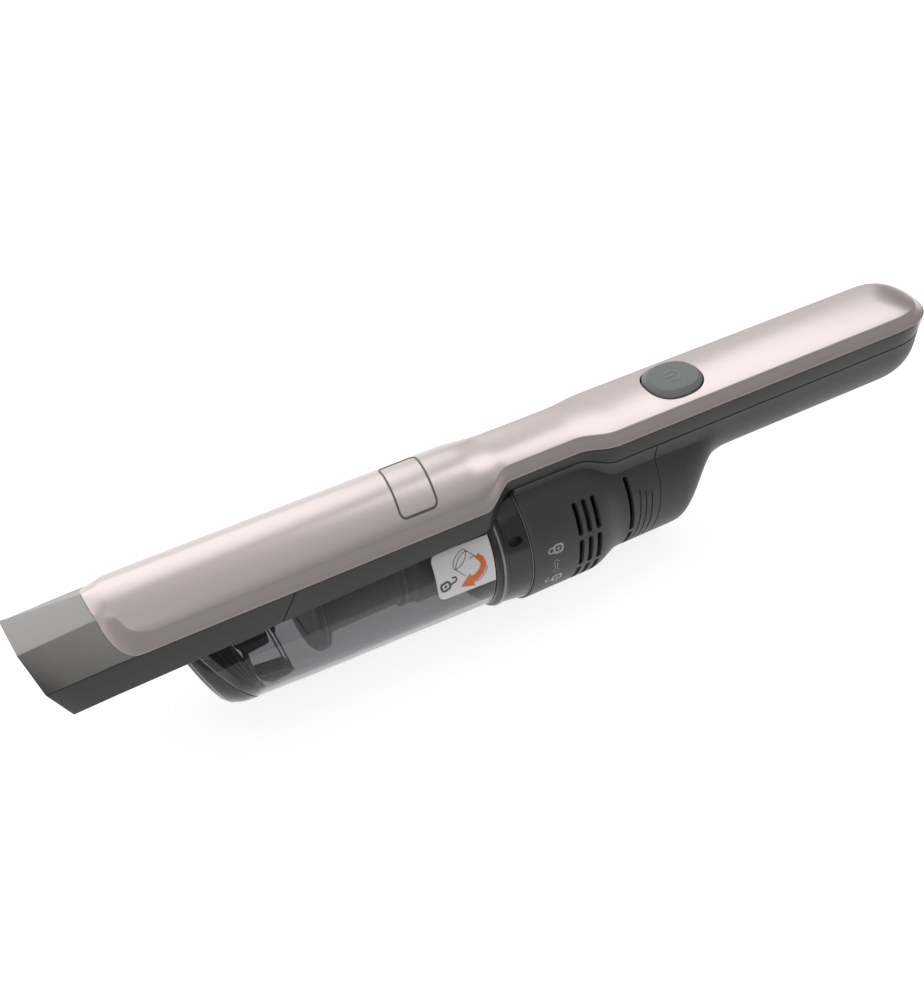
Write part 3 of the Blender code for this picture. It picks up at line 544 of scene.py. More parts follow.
def make_nozzle():
    rings = [nozzle_ring(88.0, 5.2, False), nozzle_ring(40.0, 5.2, False)]
    rings += [nozzle_ring(12.0, 2.6), nozzle_ring(0.6, 2.0), nozzle_ring(0.1, 1.7),
              nozzle_ring(-0.1, 1.3), nozzle_ring(-0.1, 0.45), nozzle_ring(0.1, 0.12)]
    rings += [nozzle_ring(0.5, 0.0), nozzle_ring(12.0), nozzle_ring(NOZZLE_FACE)]
    rings += [nozzle_ring(x, 0.0, False) for x in (42.0, 60.0, 80.0)]
    rings.append(nozzle_ring(NOZZLE_END - 0.3, 0.0, False, seam=0.5))
    rings.append(nozzle_ring(NOZZLE_END, 0.3, False, seam=0.5))
    lofted("nozzle_shell", rings, "dark_body", "main", ("nozzle",), sharp=25.0,
           skin=NOZZLE_SKIN)


def plan_half(x, half, start, reach, power):
    """Half width in plan, falling to nothing at the rounded end."""
    t = min(max((x - start) / reach, 0.0), 1.0)
    return half * (1 - t ** power) ** (1 / power)


def frame_ring(x, inset=0.0, seam=0.0):
    half = strip_half(x) - 0.05
    if x > DOME_START:
        half = plan_half(x, half, DOME_START, FRAME_REACH, 2.5)
    half -= inset
    top, bottom = strip_top(x) + GAP - 0.06 - inset, strip_bottom(x) + inset
    wall = min(2.2, half * 0.5)
    floor = bottom + min(2.2, (top - bottom) * 0.4)
    outer = rounded([(-half, top), (-half, bottom), (half, bottom), (half, top)],
                    min(0.8, half * 0.4))
    inner = [(half - wall, top), (half - wall, floor), (-half + wall, floor),
             (-half + wall, top)]
    return [(x + seam * (z - SEAM_PIVOT_Z), y, z) for y, z in outer + inner]


def make_frame():
    stations = [x for x in STATIONS if x > 100]
    ends = [DOME_START + FRAME_REACH * math.sin(math.pi / 2 * i / 16) for i in range(16)]
    rings = [frame_ring(NOZZLE_END + 0.2, 0.3, 0.5), frame_ring(NOZZLE_END + 0.5, 0.0, 0.5)]
    rings += [frame_ring(x) for x in stations + ends + [427.5]]
    lofted("frame_shell", rings, "dark_body", "main", ("frame",), sharp=40.0)


def neck(x):
    """How far the gooseneck has risen from the motor to the handle, 0 to 1."""
    rows = [(284, 0.0), (286, 0.012), (288, 0.04), (291, 0.12), (293.5, 0.27), (295.5, 0.45),
            (298, 0.65), (300, 0.755), (302, 0.83), (305, 0.9), (308, 0.95), (312, 0.985),
            (318, 1.0)]
    return read_row(rows, x)


def grip_ring(x, lean=0.0, inset=0.0):
    back = ease(x, 283.0, 314.0)
    width = mix(REAR_RADIUS, HANDLE_HALF + BAND_OUT, ease(x, 281.0, 307.0))
    drop = mix(AXIS_Z - REAR_RADIUS, HANDLE_BOTTOM, neck(x))
    end = plan_half(x, 1.0, DOME_START, GRIP_REACH, 2.4)
    top = -10.92
    width = (width - inset) * end
    waterline = mix(AXIS_Z, GRIP_WATERLINE, back)
    drop = waterline + (drop + inset - waterline) * end ** 0.75
    saddle = min(HANDLE_HALF + BAND_OUT, width) if back < 1 else width
    reach = math.acos(min(saddle / width, 1.0)) if width > saddle else 0.0
    square = mix(2.0, 2.1, back)
    points = [(x, -saddle, top)]
    steps = 40
    for i in range(steps + 1):
        angle = -math.pi - reach + (math.pi + 2 * reach) * i / steps
        c, s = math.cos(angle), math.sin(angle)
        tall = waterline - drop if s < 0 else width
        y = width * math.copysign(abs(c) ** (2 / square), c)
        z = waterline + tall * math.copysign(abs(s) ** (2 / square), s)
        points.append((x, y, min(z, top)))
    points.append((x, saddle, top))
    return [(px + lean * (pz - AXIS_Z), py, pz) for px, py, pz in points]


def make_grip():
    stations = [272, 275, 278, 281, 284] + steps_between(285, 320, 28)
    stations += steps_between(330, 400, 6)
    stations += [DOME_START + 24.3 * math.sin(math.pi / 2 * i / 18) for i in range(1, 19)]
    rings = [grip_ring(REAR_SEAM + 0.2, 0.12, 0.25), grip_ring(REAR_SEAM + 0.45, 0.12)]
    rings += [grip_ring(x, 0.12 * (1 - ease(x, 270, 282))) for x in stations]
    grip = lofted("grip_shell", rings, "charcoal_body", None, sharp=35.0)
    cutters = [[circle(x, 4.0, 24, -24.0) for x in (415.0, 440.0)]]
    for x, seat in ((278.0, -65.2), (411.5, -36.2)):
        cutters.append([disc(x, z, 3.0) for z in (seat - 8.0, seat)])
    carve(grip, cutters)
    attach(grip, "main")
    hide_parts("grip")


def disc(x, z, radius, count=24):
    turn = 2 * math.pi / count
    return [(x + radius * math.cos(i * turn), radius * math.sin(i * turn), z)
            for i in range(count)]


# ---------------------------------------------------------------- motor housing

def belly_ring(x, inset=0.0, lean=0.0):
    radius, saddle = motor_radius(x) - inset, strip_half(x) - 0.1 - inset
    top = strip_bottom(x) - 0.12 - inset
    reach = math.acos(min(saddle / radius, 1.0))
    points = []
    steps = 72
    for i in range(steps + 1):
        angle = -math.pi - reach + (math.pi + 2 * reach) * i / steps
        y, z = radius * math.cos(angle), AXIS_Z + radius * math.sin(angle)
        points.append((y, max(z, BELLY_Z + inset)))
    points = [(-saddle, top)] + points + [(saddle, top)]
    return [(x + lean * (z - AXIS_Z), y, z) for y, z in points]


def arc_slot(x, width, low, high, side, inner=24.0, outer=36.0, lean=0.0):
    """Slot cutter with round ends, its angles in degrees below the horizontal."""
    rings = []
    round_off = width / 2
    length = math.radians(high - low) * MOTOR_RADIUS
    ends = [round_off * (1 - math.cos(k * math.pi / 10)) for k in range(1, 6)]
    spots = ends + steps_between(round_off, length - round_off, 12)[1:-1]
    spots += [length - d for d in reversed(ends)]
    for spot in spots:
        d = min(spot, length - spot, round_off)
        half = math.sqrt(max(round_off ** 2 - (round_off - d) ** 2, 1e-4))
        angle = math.radians(low) + spot / MOTOR_RADIUS
        c, s = math.cos(angle), math.sin(angle)
        middle = x + round_off + lean * -28.0 * s
        rings.append([(px, side * radius * c, AXIS_Z - radius * s)
                      for px, radius in ((middle - half, inner), (middle + half, inner),
                                         (middle + half, outer), (middle - half, outer))])
    return rings


def make_motor_housing():
    stations = [HOUSING_FRONT + 0.5, 206, 212, 218, 224, 230, 233]
    stations += steps_between(235, 254, 16) + [262.0]
    rings = [belly_ring(HOUSING_FRONT, 0.4)] + [belly_ring(x) for x in stations]
    rings += [belly_ring(REAR_SEAM - 0.4, 0.0, 0.12), belly_ring(REAR_SEAM, 0.35, 0.12)]
    rings += [belly_ring(REAR_SEAM, 2.2, 0.12)]
    rings += [belly_ring(x, 2.2) for x in [HOUSING_FRONT] + stations[1:]][::-1]
    housing = lofted("motor_shell", rings, "charcoal_body", None, wrap=True, sharp=40.0)
    cutters = []
    for side in (-1, 1):
        for x in (224.2, 228.7, 233.2):
            for low, high in ((-43.0, -17.0), (-13.5, 11.5), (14.5, 40.0)):
                cutters.append(arc_slot(x, 2.5, low, high, side))
        cutters.append(arc_slot(253.2, 2.4, -46.0, 8.0, side))
        cutters.append(arc_slot(253.2, 2.4, 11.5, 40.0, side))
        for number, x in enumerate((258.0, 261.0, 264.0)):
            cutters.append(arc_slot(x, 0.7, -30.0 + 3 * number, 62.0, side, 27.3, 36.0, 0.08))
    carve(housing, cutters)
    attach(housing, "main")
    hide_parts("motor_housing")
    # Near-black sheet behind the front vents: painted shade seen through the slots.
    turned("vent_shade_sheet", [(220.0, 26.0), (237.0, 26.0), (237.0, 26.6), (220.0, 26.6)],
           "charcoal_body", "main", skin=SHADE_FILL, radius=0.1)


# ---------------------------------------------------------------- bowl and ring

def bowl_ring(x, inset=0.0, lean=0.0, extra=0.0):
    radius = bowl_radius(x) - inset - extra
    top = strip_bottom(max(x, CAP_JOINT)) - 0.5 - inset - extra * 0.3
    if x > BOWL_END - 1:
        top = -16.2 - 0.5 - inset
    reach = math.asin(min((top - AXIS_Z) / radius, 1.0))
    points = []
    steps = 72
    for i in range(steps + 1):
        angle = math.pi - reach + (math.pi + 2 * reach) * i / steps
        y, z = radius * math.cos(angle), AXIS_Z + radius * math.sin(angle)
        points.append((x + lean * (top - z), y, z))
    return points


def bowl_lean(x):
    """Lean of the bowl's rings: strong at the cap's joint, gone in front of the label."""
    return mix(CAP_LEAN, 0.0, ease(x, 58.0, 118.0))


def make_bowl():
    wall = 1.6
    outer = [bowl_ring(59.9, 0.25, CAP_LEAN), bowl_ring(60.2, 0.0, CAP_LEAN)]
    outer += [bowl_ring(x, 0.0, bowl_lean(x)) for x in (66, 74, 82, 90, 100, 110, 118)]
    outer += [bowl_ring(x) for x in (130, 150, 170, BOWL_END - 0.3)]
    outer.append(bowl_ring(BOWL_END, 0.3))
    inner = [bowl_ring(BOWL_END, wall), bowl_ring(150.0, wall), bowl_ring(118.0, wall)]
    inner += [bowl_ring(x, wall, bowl_lean(x)) for x in (100, 82, 66)]
    inner.append(bowl_ring(60.2, wall, CAP_LEAN))
    lofted("bowl_shell", outer + inner, "smoke_clear", "bowl", ("dust_bowl",), wrap=True)
    cap = [bowl_ring(54.8, 0.0, 0.45, 4.4), bowl_ring(55.0, 0.0, 0.45, 3.5),
           bowl_ring(55.5, 0.0, 0.46, 2.5), bowl_ring(56.0, 0.0, 0.47, 1.75),
           bowl_ring(56.9, 0.0, 0.5, 0.85), bowl_ring(57.8, 0.0, 0.53, 0.3),
           bowl_ring(58.6, 0.0, 0.58, 0.0), bowl_ring(59.5, 0.0, CAP_LEAN),
           bowl_ring(59.7, 0.3, CAP_LEAN), bowl_ring(59.9, 2.4, CAP_LEAN),
           bowl_ring(58.6, 2.8, 0.6)]
    lofted("bowl_cap", cap, "gloss_trim", "bowl", ("bowl_front_cap",), sharp=50.0)
    # Thin lighter ring round the cap's front edge: painted highlight on its bevel.
    edge = [(55.7, 2.15), (55.85, 1.85), (56.15, 1.6), (56.05, 2.0)]
    rings = [bowl_ring(x, 0.0, 0.468, extra) for x, extra in edge]
    lofted("cap_edge_line", rings, "gloss_trim", "bowl", wrap=True, skin=HIGHLIGHT_PAINT)
    make_fan_ribs()
    make_inlet_box()


def fan_x(t, share):
    """Place of a line down the fan: t from its top to its bottom, share across its width."""
    return mix(63.4 + 20.0 * t ** 1.2, 73.4 + 11.0 * t ** 1.7, share)


def fan_ring(t, bottom, side, section):
    """Section of (x, radius) points, turned down from the fan's top towards its bottom."""
    angle = math.radians(mix(48.0, bottom, t))
    return [(x, side * r * math.cos(angle), AXIS_Z + r * math.sin(angle)) for x, r in section]


def make_fan_ribs():
    """Black ribs fanning out behind the cap's joint, on both sides."""
    shares = [i / 12 for i in range(13)]
    for side in (-1, 1):
        for number in range(6):
            rings = []
            for t in shares:
                middle = fan_x(t, (number + 0.5) / 6)
                half = (fan_x(t, 1.0) - fan_x(t, 0.0)) / 12 * 0.86
                section = ((-half, 21.6), (-half, 23.2), (-half * 0.4, 23.8),
                           (half * 0.7, 23.4), (half, 22.8), (half, 21.6))
                rings.append(fan_ring(t, -30.0, side, [(middle + dx, r) for dx, r in section]))
            lofted("fan_rib_%d_%d" % (number, side + 1), rings, "gloss_trim", "bowl",
                   ("ribbed_baffle",) if number == 0 and side < 0 else ())
        rings = []
        for t in shares:
            low, high = fan_x(t, 0.0), fan_x(t, 1.0)
            section = ((low, 21.0), (low, 21.8), (high, 21.8), (high, 21.0))
            rings.append(fan_ring(t, -32.0, side, section))
        lofted("fan_back_%d" % (side + 1), rings, "gloss_trim", "bowl")
        # Thin lighter lines along the fan: painted highlights on the glossy ribs.
        for number, share in enumerate((0.36, 0.68, 1.0)):
            rings = []
            for t in (i / 14 for i in range(15)):
                x = fan_x(t, share)
                section = ((x - 0.12, 23.2), (x - 0.12, 24.1), (x + 0.12, 24.1),
                           (x + 0.12, 23.2))
                rings.append(fan_ring(t, -26.0, side, section))
            lofted("fan_line_%d_%d" % (number, side + 1), rings, "gloss_trim", "bowl",
                   skin=HIGHLIGHT_PAINT)


def slab(name, corners, near, far, skin, side=-1, radius=0.6, slot="gloss_trim", nodes=()):
    """Flat part with rounded corners in the x-z plane, from one depth to another."""
    outline = rounded(corners, radius, 4)
    cx = sum(x for x, _ in outline) / len(outline)
    cz = sum(z for _, z in outline) / len(outline)
    rings = []
    for y, shrink_by in ((near, 0.35), (near - 0.15, 0.1), (near - 0.4, 0.0), (far, 0.0)):
        ring = []
        for x, z in outline:
            away = max(math.hypot(x - cx, z - cz), 1e-6)
            ring.append((x - (x - cx) / away * shrink_by, side * y,
                         z - (z - cz) / away * shrink_by))
        rings.append(ring)
    return lofted(name, rings, slot, "bowl", nodes, skin=skin)


def make_inlet_box():
    """Clear inlet box: a window with dark edges and a dark catch below it."""
    for side in (-1, 1):
        tag = "_%d" % (side + 1)
        slab("inlet_head" + tag, [(74.4, -23.6), (79.4, -29.6), (88.6, -28.2), (87.6, -20.5),
                                  (74.4, -20.5)], 20.0, 16.5, SKINS["gloss_trim"], side,
             nodes=("inlet_duct",) if side < 0 else ())
        slab("inlet_post" + tag, [(77.6, -29.0), (79.4, -29.0), (81.8, -42.6), (80.0, -42.6)],
             20.0, 16.5, SKINS["gloss_trim"], side, 0.4)
        for number, shift in enumerate((0.0, 1.6)):
            slab("inlet_line_%d%s" % (number, tag),
                 [(88.3 + shift, -22.0), (88.9 + shift, -22.0), (95.0 + shift, -44.6),
                  (94.4 + shift, -44.6)], 20.2, 18.8, SKINS["gloss_trim"], side, 0.2)
        slab("inlet_catch" + tag, [(81.4, -42.6), (95.2, -44.6), (98.2, -48.6), (95.6, -50.2),
                                   (88.0, -51.2), (83.8, -47.6)], 20.0, 15.0,
             SKINS["gloss_trim"], side, 1.2)
        # Lighter strips and studs on the catch: painted glints on the glossy black bar.
        slab("inlet_catch_top" + tag, [(83.0, -43.6), (94.4, -45.2), (94.6, -46.0),
                                       (83.6, -44.6)], 20.6, 19.8, HIGHLIGHT_PAINT, side, 0.3)
        slab("inlet_catch_low" + tag, [(86.4, -48.0), (92.4, -48.4), (92.4, -49.1),
                                       (87.4, -49.0)], 20.6, 19.8, HIGHLIGHT_PAINT, side, 0.3)
        for number, (x, z) in enumerate(((95.6, -45.9), (96.9, -47.4), (95.2, -47.9))):
            slab("inlet_stud_%d%s" % (number, tag),
                 [(x - 0.45, z - 0.4), (x + 0.45, z - 0.4), (x + 0.45, z + 0.4),
                  (x - 0.45, z + 0.4)], 20.9, 19.8, HIGHLIGHT_PAINT, side, 0.3)


def make_ring():
    """Bayonet ring: two beads with painted highlight lines, a dark groove and a plain sleeve.
    """
    front = BOWL_END + GAP
    profile = [(front, 21.8), (front, 28.3), (187.9, 28.3), (188.3, 29.2), (191.6, 29.9),
               (192.0, 30.2), (199.3, 31.2), (201.4, 31.5), (201.9, 31.2), (201.9, 27.5),
               (198.0, 21.8)]
    ring = turned("ring_shell", profile, "gloss_trim", None, radius=0.35)
    for side in (-1, 1):
        angle = math.radians(32.0)
        c, s = math.cos(angle), math.sin(angle)
        cutters = []
        for depth in (28.2, 34.0):
            cutters.append([(196.2 + 3.3 * math.cos(a),
                             side * (depth * c - 2.0 * math.sin(a) * s),
                             AXIS_Z + depth * s + 2.0 * math.sin(a) * c)
                            for a in [2 * math.pi * k / 24 for k in range(24)]])
        carve(ring, [cutters])
    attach(ring, "ring")
    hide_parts("lock_ring")
    turned("ring_bead", [(188.6, 28.6), (188.9, 30.0), (189.6, 30.6), (191.2, 30.6),
                         (191.8, 29.4)], "gloss_trim", "ring", radius=0.5)
    # Thin lighter rings on the bead and at the seam to the housing: painted highlights.
    turned("ring_bead_line", [(188.95, 30.0), (189.25, 30.45), (189.7, 30.75), (189.9, 30.5),
                              (189.4, 30.0)], "gloss_trim", "ring", skin=HIGHLIGHT_PAINT, radius=0.15)
    turned("ring_seam_line", [(201.75, 31.1), (201.75, 31.75), (202.1, 31.75), (202.1, 31.1)],
           "gloss_trim", "ring", skin=HIGHLIGHT_PAINT, radius=0.1)
    degree = math.radians(1) * 31.0

    def on_ring(u, v, lift):
        return on_round(u, v, 31.25 + (u - 199.7) * 0.12 + lift)

    ribbon("ring_pointer", [(200.9, -29.0), (198.2, -29.0)], [3.0, 0.4], on_ring, ICON_PALE,
           "ring", 0.12, 0.3, scale_v=degree)


def make_filter():
    """Stepped shroud with a flanged front, a collar and two pale rims."""
    profile = [(111.0, 11.9), (111.0, 18.2), (111.9, 19.4), (113.0, 19.4), (113.3, 18.6),
               (113.9, 18.6), (114.2, 19.4), (115.2, 19.4), (116.0, 14.2), (150.0, 13.7),
               (150.6, 15.2), (152.6, 15.2), (153.0, 14.3), (154.0, 14.3), (154.4, 15.4),
               (157.0, 15.4), (158.2, 16.7), (165.0, 16.7), (174.0, 18.4), (185.0, 18.6),
               (186.6, 20.8), (189.0, 20.8), (189.0, 11.9)]
    turned("filter_shell", profile, "filter_frame", "filter", ("filter_shroud",), radius=0.3)
    turned("filter_rim", [(112.9, 18.4), (112.9, 19.55), (113.9, 19.55), (113.9, 18.4)],
           "filter_frame", "filter", skin=PALE_RIM, radius=0.2)
    turned("filter_collar_rim", [(151.0, 15.0), (151.0, 15.6), (151.8, 15.6), (151.8, 15.0)],
           "filter_frame", "filter", skin=PALE_RIM, radius=0.15)
    turned("filter_face", [(111.4, 0.6), (111.4, 12.0), (112.6, 12.0), (112.6, 0.6)],
           "filter_frame", "filter", radius=0.2)


# ---------------------------------------------------------------- flat graphics

def on_round(u, v, radius):
    """Point on a round body: u along its axis, v in degrees above its near side."""
    angle = math.radians(v)
    return (u, -radius * math.cos(angle), AXIS_Z + radius * math.sin(angle))


def on_bowl(u, v, lift):
    return on_round(u, v, bowl_radius(u) + lift)


def on_motor(u, v, lift):
    return on_round(u, v, motor_radius(u) + lift)


def on_crown(u, v, lift):
    return (u, v, crown_z(u, v) + lift)


def on_button(u, v, lift):
    return (u, v, BUTTON_TOP + lift)


def ribbon(name, path, widths, place, skin, body, lift=0.1, thick=0.3, across=1,
           closed=False, scale_v=1.0, nodes=()):
    """Thin solid strip along a path drawn on a surface; place maps (u, v, lift) to space."""
    count = len(path)
    if not hasattr(widths, "__len__"):
        widths = [widths] * count
    rings = []
    for i, (u, v) in enumerate(path):
        a = path[i - 1] if (i or closed) else path[0]
        b = path[(i + 1) % count] if (i < count - 1 or closed) else path[-1]
        run = Vector((b[0] - a[0], (b[1] - a[1]) * scale_v)).normalized()
        side = Vector((-run.y, run.x))
        half = widths[i] / 2
        ring = []
        for level, order in ((lift, 1), (lift - thick, -1)):
            for k in range(across + 1):
                share = (2 * k / across - 1) * order
                ring.append(place(u + side.x * half * share,
                                  v + side.y * half * share / scale_v, level))
        rings.append(ring)
    work = bmesh.new()
    loft(work, rings, wrap=closed)
    return add_piece(name, work, skin, body, 30.0, nodes)


def arc_path(centre, radius_u, radius_v, low, high, count=16):
    made = []
    for i in range(count + 1):
        angle = math.radians(mix(low, high, i / count))
        made.append((centre[0] + radius_u * math.cos(angle),
                     centre[1] + radius_v * math.sin(angle)))
    return made


def round_box_path(centre, half_u, half_v, corner_u, corner_v, count=5, fill=0):
    """Closed box outline with round corners; fill adds points along its sides."""
    def between(last, first):
        return [(mix(last[0], first[0], k / fill), mix(last[1], first[1], k / fill))
                for k in range(1, fill)]

    made = []
    for cu, cv, start in ((1, 1, 0), (-1, 1, 90), (-1, -1, 180), (1, -1, 270)):
        middle = (centre[0] + cu * (half_u - corner_u), centre[1] + cv * (half_v - corner_v))
        arc = arc_path(middle, corner_u, corner_v, start, start + 90, count)
        if made and fill:
            made += between(made[-1], arc[0])
        made += arc
    if fill:
        made += between(made[-1], made[0])
    return made


def make_badge():
    """Plain outlined plate on the crown; the middle is left blank."""
    box = round_box_path((0, 0), 8.2, 14.2, 2.4, 2.4, 6, 10)
    path = [(161.0 + u + 0.19 * v, v * 1.04 - 0.6) for u, v in box]
    ribbon("badge_outline", path, 0.75, on_crown, SKINS["badge"], "main", 0.22, 0.6,
           closed=True, nodes=("badge",))


DEGREE = math.radians(1) * 28.3     # length on the bowl of one degree


def make_label():
    """White label, its front corners rounded off."""
    front, corner = 159.4, 3.4
    widths = []
    path = []
    for i in range(25):
        t = (i / 24) ** 1.4
        u = mix(front, 185.9, t)
        edge = u - front
        cut = 0.0
        if edge <= corner:
            cut = corner - math.sqrt(max(corner ** 2 - (corner - edge) ** 2, 0.0))
        path.append((u, 26.2 - 1.2 * t))
        widths.append(41.0 * DEGREE - 2 * cut)
    ribbon("label_face", path, widths, on_bowl, SKINS["label"], "bowl", 0.35, 0.3, 24,
           scale_v=DEGREE, nodes=("bowl_label",))
    draw_cylinders()
    draw_arrow()
    draw_lock("label_lock", (162.9, 17.4), on_bowl, DEGREE, ICON_DARK, "bowl", 1.15, True,
              0.47, turn=12.0)


def draw_line(name, path, width=0.22):
    ribbon(name, path, width, on_bowl, ICON_DARK, "bowl", 0.46, 0.2, scale_v=DEGREE)


def draw_cylinders():
    """Two outlined cups, tilted, one on each side of the arrow."""
    tilt = math.radians(-49.0)
    for number, (du, low, high) in enumerate(((0.0, 0, 360), (1.5, 90, 270), (5.6, 90, 150))):
        path = [turn_point(171.4, 35.2, du + u, v, tilt)
                for u, v in arc_path((0, 0), 2.0, 4.4, low, high, 22)]
        draw_line("cup_a_%d" % number, path)
    for number, v in enumerate((4.4, -4.4)):
        path = [turn_point(171.4, 35.2, u, v, tilt) for u in (0.0, 2.0, 4.0, 6.2)]
        draw_line("cup_a_side_%d" % number, path)
    for number, (du, low, high) in enumerate(((9.6, -90, 90), (12.2, -90, 90))):
        path = [turn_point(171.4, 35.2, du + u, v, tilt)
                for u, v in arc_path((0, 0), 1.4, 4.2 - 0.5 * number, low, high, 18)]
        draw_line("cup_b_%d" % number, path)


def turn_point(cu, cv, u, v, tilt):
    return (cu + u * math.cos(tilt) - v * math.sin(tilt),
            cv + (u * math.sin(tilt) + v * math.cos(tilt)) / DEGREE)


def draw_arrow():
    points = [(178.9, 32.6), (180.4, 29.2), (181.0, 25.4), (180.6, 21.6), (179.2, 18.2),
              (177.2, 15.6), (174.9, 13.9)]
    path = []
    for (a, b), (c, d) in zip(points, points[1:]):
        path += [(mix(a, c, k / 4), mix(b, d, k / 4)) for k in range(4)]
    path.append(points[-1])
    widths = [mix(2.2, 3.0, i / (len(path) - 1)) for i in range(len(path))]
    ribbon("arrow_band", path, widths, on_bowl, ORANGE, "bowl", 0.52, 0.2, 2,
           scale_v=DEGREE)
    ribbon("arrow_head", [(175.2, 14.1), (172.4, 12.8), (169.9, 11.8)], [6.4, 3.4, 0.25],
           on_bowl, ORANGE, "bowl", 0.55, 0.2, 2, scale_v=DEGREE)


def draw_lock(name, centre, place, degree, skin, body, size, is_open, lift,
              turn=0.0, side=1):
    """Padlock lying on its side: an outlined body, a keyhole and a shackle."""
    cu, cv = centre
    tilt = math.radians(turn)

    def at(u, v):
        u *= side
        return (cu + (u * math.cos(tilt) - v * math.sin(tilt)) * size,
                cv + (u * math.sin(tilt) + v * math.cos(tilt)) * size / degree)

    body_path = [at(u, v) for u, v in round_box_path((0, 0), 1.7, 1.45, 1.0, 1.0, 5)]
    ribbon(name + "_body", body_path, 0.85 * size, place, skin, body, lift, 0.25,
           closed=True, scale_v=degree)
    ribbon(name + "_key", [at(-0.7, 0), at(0.7, 0)], 0.5 * size, place, skin, body,
           lift, 0.25, scale_v=degree)
    ribbon(name + "_pin", [at(0, -0.6), at(0, 0.6)], 0.4 * size, place, skin, body,
           lift, 0.25, scale_v=degree)
    shift, swing = (0.8, 0.6) if is_open else (0.0, 0.0)
    shackle = [at(1.7, -0.95 + swing), at(2.5 + shift, -0.95 + swing)]
    shackle += [at(u, v + swing) for u, v in arc_path((2.9 + shift, 0), 1.05, 0.95, -80, 80,
                                                      10)]
    shackle.append(at(2.5 + shift, 0.95 + swing))
    if not is_open:
        shackle.append(at(1.7, 0.95))
    ribbon(name + "_shackle", shackle, 0.6 * size, place, skin, body, lift, 0.25,
           scale_v=degree)


def make_housing_icons():
    degree = math.radians(1) * MOTOR_RADIUS
    for name, v, is_open in (("icon_locked", 15.0, False), ("icon_unlocked", -14.6, True)):
        draw_lock(name, (213.9, v), on_motor, degree, ICON_PALE, "main", 1.2, is_open, 0.12,
                  side=-1)
    outline = [(211.0, 3.0), (212.6, 6.0), (214.2, 3.0), (213.2, 3.0), (213.2, -4.0),
               (214.2, -4.0), (212.6, -7.0), (211.0, -4.0), (212.0, -4.0), (212.0, 3.0)]
    ribbon("icon_arrow", outline, 0.28, on_motor, ICON_PALE, "main", 0.12,
           0.25, closed=True, scale_v=degree)


# ---------------------------------------------------------------- button

def make_button():
    rings = [oval(z, 2.0, 2.0, power=2.0) for z in (-1.9, 1.0)]
    outline = [(1.0, 13.2, 10.6), (5.5, 13.2, 10.6), (5.8, 13.1, 10.5), (6.0, 12.9, 10.3),
               (7.0, 11.7, 9.0), (7.15, 11.4, 8.7), (7.22, 11.0, 8.3), (7.26, 8.0, 6.0),
               (7.28, 4.0, 3.0)]
    rings += [oval(z, a, b) for z, a, b in outline]
    lofted("button_shell", rings, "charcoal_body", "button", ("power_button",), sharp=55.0,
           skin=BUTTON_SKIN)
    wheel = arc_path((290.6, 0.0), 3.0, 3.0, -140, 140, 28)
    ribbon("power_arc", wheel, 0.75, on_button, POWER_MARK, "button", 0.22,
           0.4)
    ribbon("power_bar", [(286.6, 0.0), (290.6, 0.0)], 0.75, on_button, POWER_MARK, "button",
           0.22, 0.4)


def make_button_well():
    """Near-black skirt inside the cover's hole, painted shade in the gap round the button."""
    work = bmesh.new()
    rings = []
    for a, b, z in ((14.3, 11.7, 2.6), (13.6, 11.0, 2.6), (13.6, 11.0, -1.6),
                    (14.3, 11.7, -1.6)):
        rings.append(oval(z, a, b))
    loft(work, rings, wrap=True)
    add_piece("button_well", work, SHADE_FILL, "main", 40.0)


# ---------------------------------------------------------------- carried-over nodes

def apply_slots():
    chosen = {
        "nozzle": "dark_body", "ribbed_baffle": "gloss_trim", "inlet_duct": "smoke_clear",
        "inlet_flap": "soft_rubber", "duct_seal": "soft_rubber", "filter_core": "filter_media",
        "filter_seal": "soft_rubber", "intake_guard": "charcoal_body",
        "fan_cover": "charcoal_body", "impeller": "filter_frame", "motor_shaft": "steel",
        "motor_can": "motor_steel", "motor_mount": "soft_rubber", "button_spring": "steel",
        "control_board": "board", "tact_switch": "connector", "cell_1": "cell_sleeve",
        "cell_2": "cell_sleeve", "cell_3": "cell_sleeve", "cell_link": "nickel",
        "charge_socket": "connector", "motor_wire_1": "wire", "motor_wire_2": "wire",
        "screw_1": "steel", "screw_2": "steel", "top_cover": "rose_cover", "badge": "badge",
        "frame": "dark_body", "motor_housing": "charcoal_body", "grip": "charcoal_body",
        "dust_bowl": "smoke_clear", "bowl_front_cap": "gloss_trim", "bowl_label": "label",
        "lock_ring": "gloss_trim", "filter_shroud": "filter_frame",
        "power_button": "charcoal_body",
    }
    for name, slot in chosen.items():
        node = frame["nodes"][name]
        node.data.materials.clear()
        node.data.materials.append(SKINS[slot])


# ---------------------------------------------------------------- studio

def make_floor():
    work = bmesh.new()
    corners = [(-1, -1), (1, -1), (1, 1), (-1, 1)]
    verts = [work.verts.new((x * FLOOR_HALF, y * FLOOR_HALF, -0.0002)) for x, y in corners]
    work.faces.new(verts)
    data = bpy.data.meshes.new("floor")
    work.to_mesh(data)
    work.free()
    floor = bpy.data.objects.new("floor", data)
    bpy.context.scene.collection.objects.link(floor)
    paper = finish("paper_floor", (0.42, 0.42, 0.42), 0.9, 0.0, 0.005, 60.0, 0.0, gloss=0.0)
    shader = paper.node_tree.nodes["Principled BSDF"]
    shader.inputs["Emission Color"].default_value = (1.0, 1.0, 1.0, 1.0)
    shader.inputs["Emission Strength"].default_value = 0.82
    data.materials.append(paper)


def area_light(name, place, target, size, power):
    lamp = bpy.data.lights.new(name, "AREA")
    lamp.shape = "RECTANGLE"
    lamp.size, lamp.size_y = size
    lamp.energy = power
    item = bpy.data.objects.new(name, lamp)
    item.location = place
    aim = (Vector(target) - Vector(place)).to_track_quat("-Z", "Y")
    item.rotation_euler = aim.to_euler()
    bpy.context.scene.collection.objects.link(item)


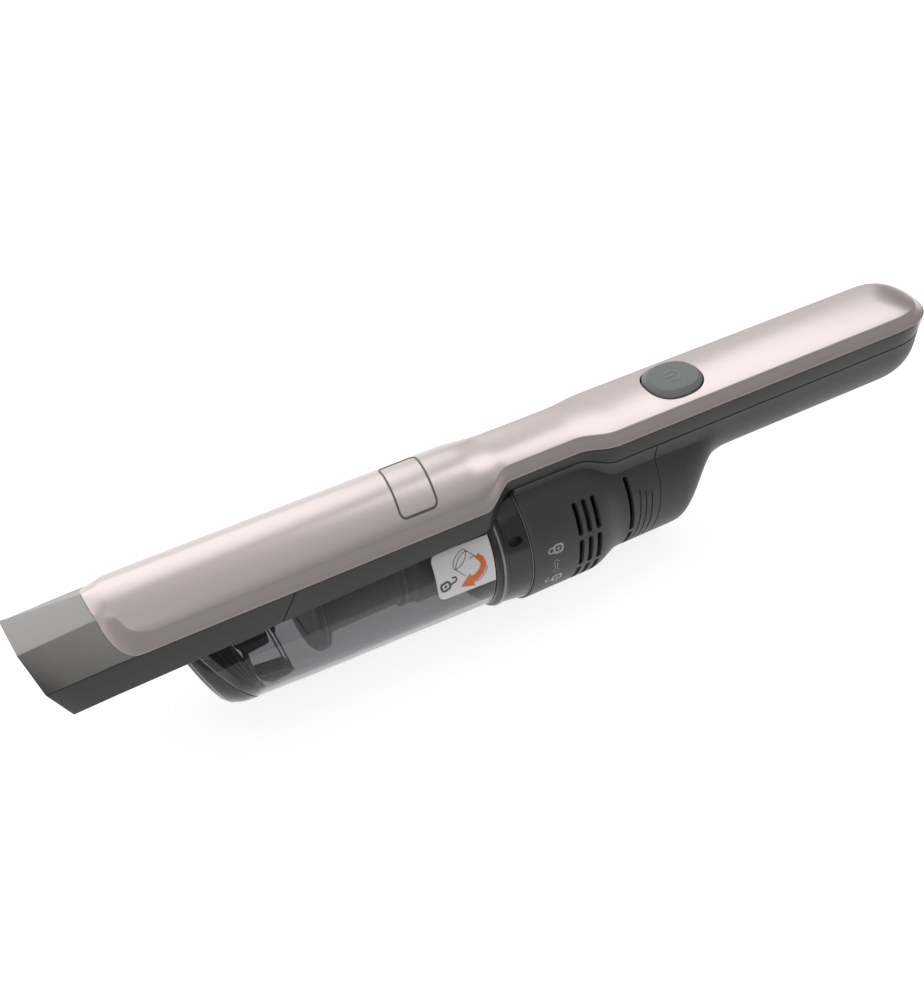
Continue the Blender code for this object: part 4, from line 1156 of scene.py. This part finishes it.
def make_studio():
    make_floor()
    area_light("far_softbox", (-0.05, 1.75, 0.92), LIGHT_TARGET, (1.6, 1.6), 13.0)
    area_light("far_side", (1.06, 1.36, 0.80), LIGHT_TARGET, (1.0, 1.2), 2.4)
    area_light("overhead", (0.2, 0.05, 1.8), (0.1, 0, 0.03), (2.6, 2.0), 6.0)
    area_light("rear_softbox", (1.14, 0.6, 1.52), LIGHT_TARGET, (1.1, 1.0), 6.0)
    area_light("left_panel", (-0.98, 0.15, 1.6), LIGHT_TARGET, (0.8, 0.9), 1.8)
    area_light("left_strip", (-1.5, -0.55, 0.5), LIGHT_TARGET, (0.3, 0.8), 4.0)
    area_light("near_fill", (-0.3, -1.2, 1.7), LIGHT_TARGET, (0.9, 0.6), 0.8)
    sky = bpy.data.worlds.new("studio")
    sky.use_nodes = True
    back = sky.node_tree.nodes["Background"]
    back.inputs["Color"].default_value = (1.0, 1.0, 1.0, 1.0)
    back.inputs["Strength"].default_value = 0.28
    bpy.context.scene.world = sky
    bpy.context.scene.view_settings.view_transform = "Standard"


def make_camera():
    """Camera above and in front of the near side, looking along the vacuum's length."""
    data = bpy.data.cameras.new("camera")
    data.sensor_width, data.lens = 36.0, CAMERA_LENS
    camera = bpy.data.objects.new("camera", data)
    round_by, up_by, roll = (math.radians(angle) for angle in CAMERA_ANGLES)
    back = Vector((math.sin(round_by) * math.cos(up_by), -math.cos(round_by) * math.cos(up_by),
                   math.sin(up_by)))
    level = Vector((math.cos(round_by), math.sin(round_by), 0.0))
    right = level * math.cos(roll) + back.cross(level) * math.sin(roll)
    turn = Matrix((right, back.cross(right), back)).transposed()
    camera.matrix_world = Matrix.Translation(world(*CAMERA_PLACE)) @ turn.to_4x4()
    bpy.context.scene.collection.objects.link(camera)
    bpy.context.scene.camera = camera


apply_slots()
make_cover()
make_badge()
make_nozzle()
make_frame()
make_grip()
make_motor_housing()
make_bowl()
make_ring()
make_filter()
make_label()
make_housing_icons()
make_button_well()
make_button()
make_studio()
make_camera()
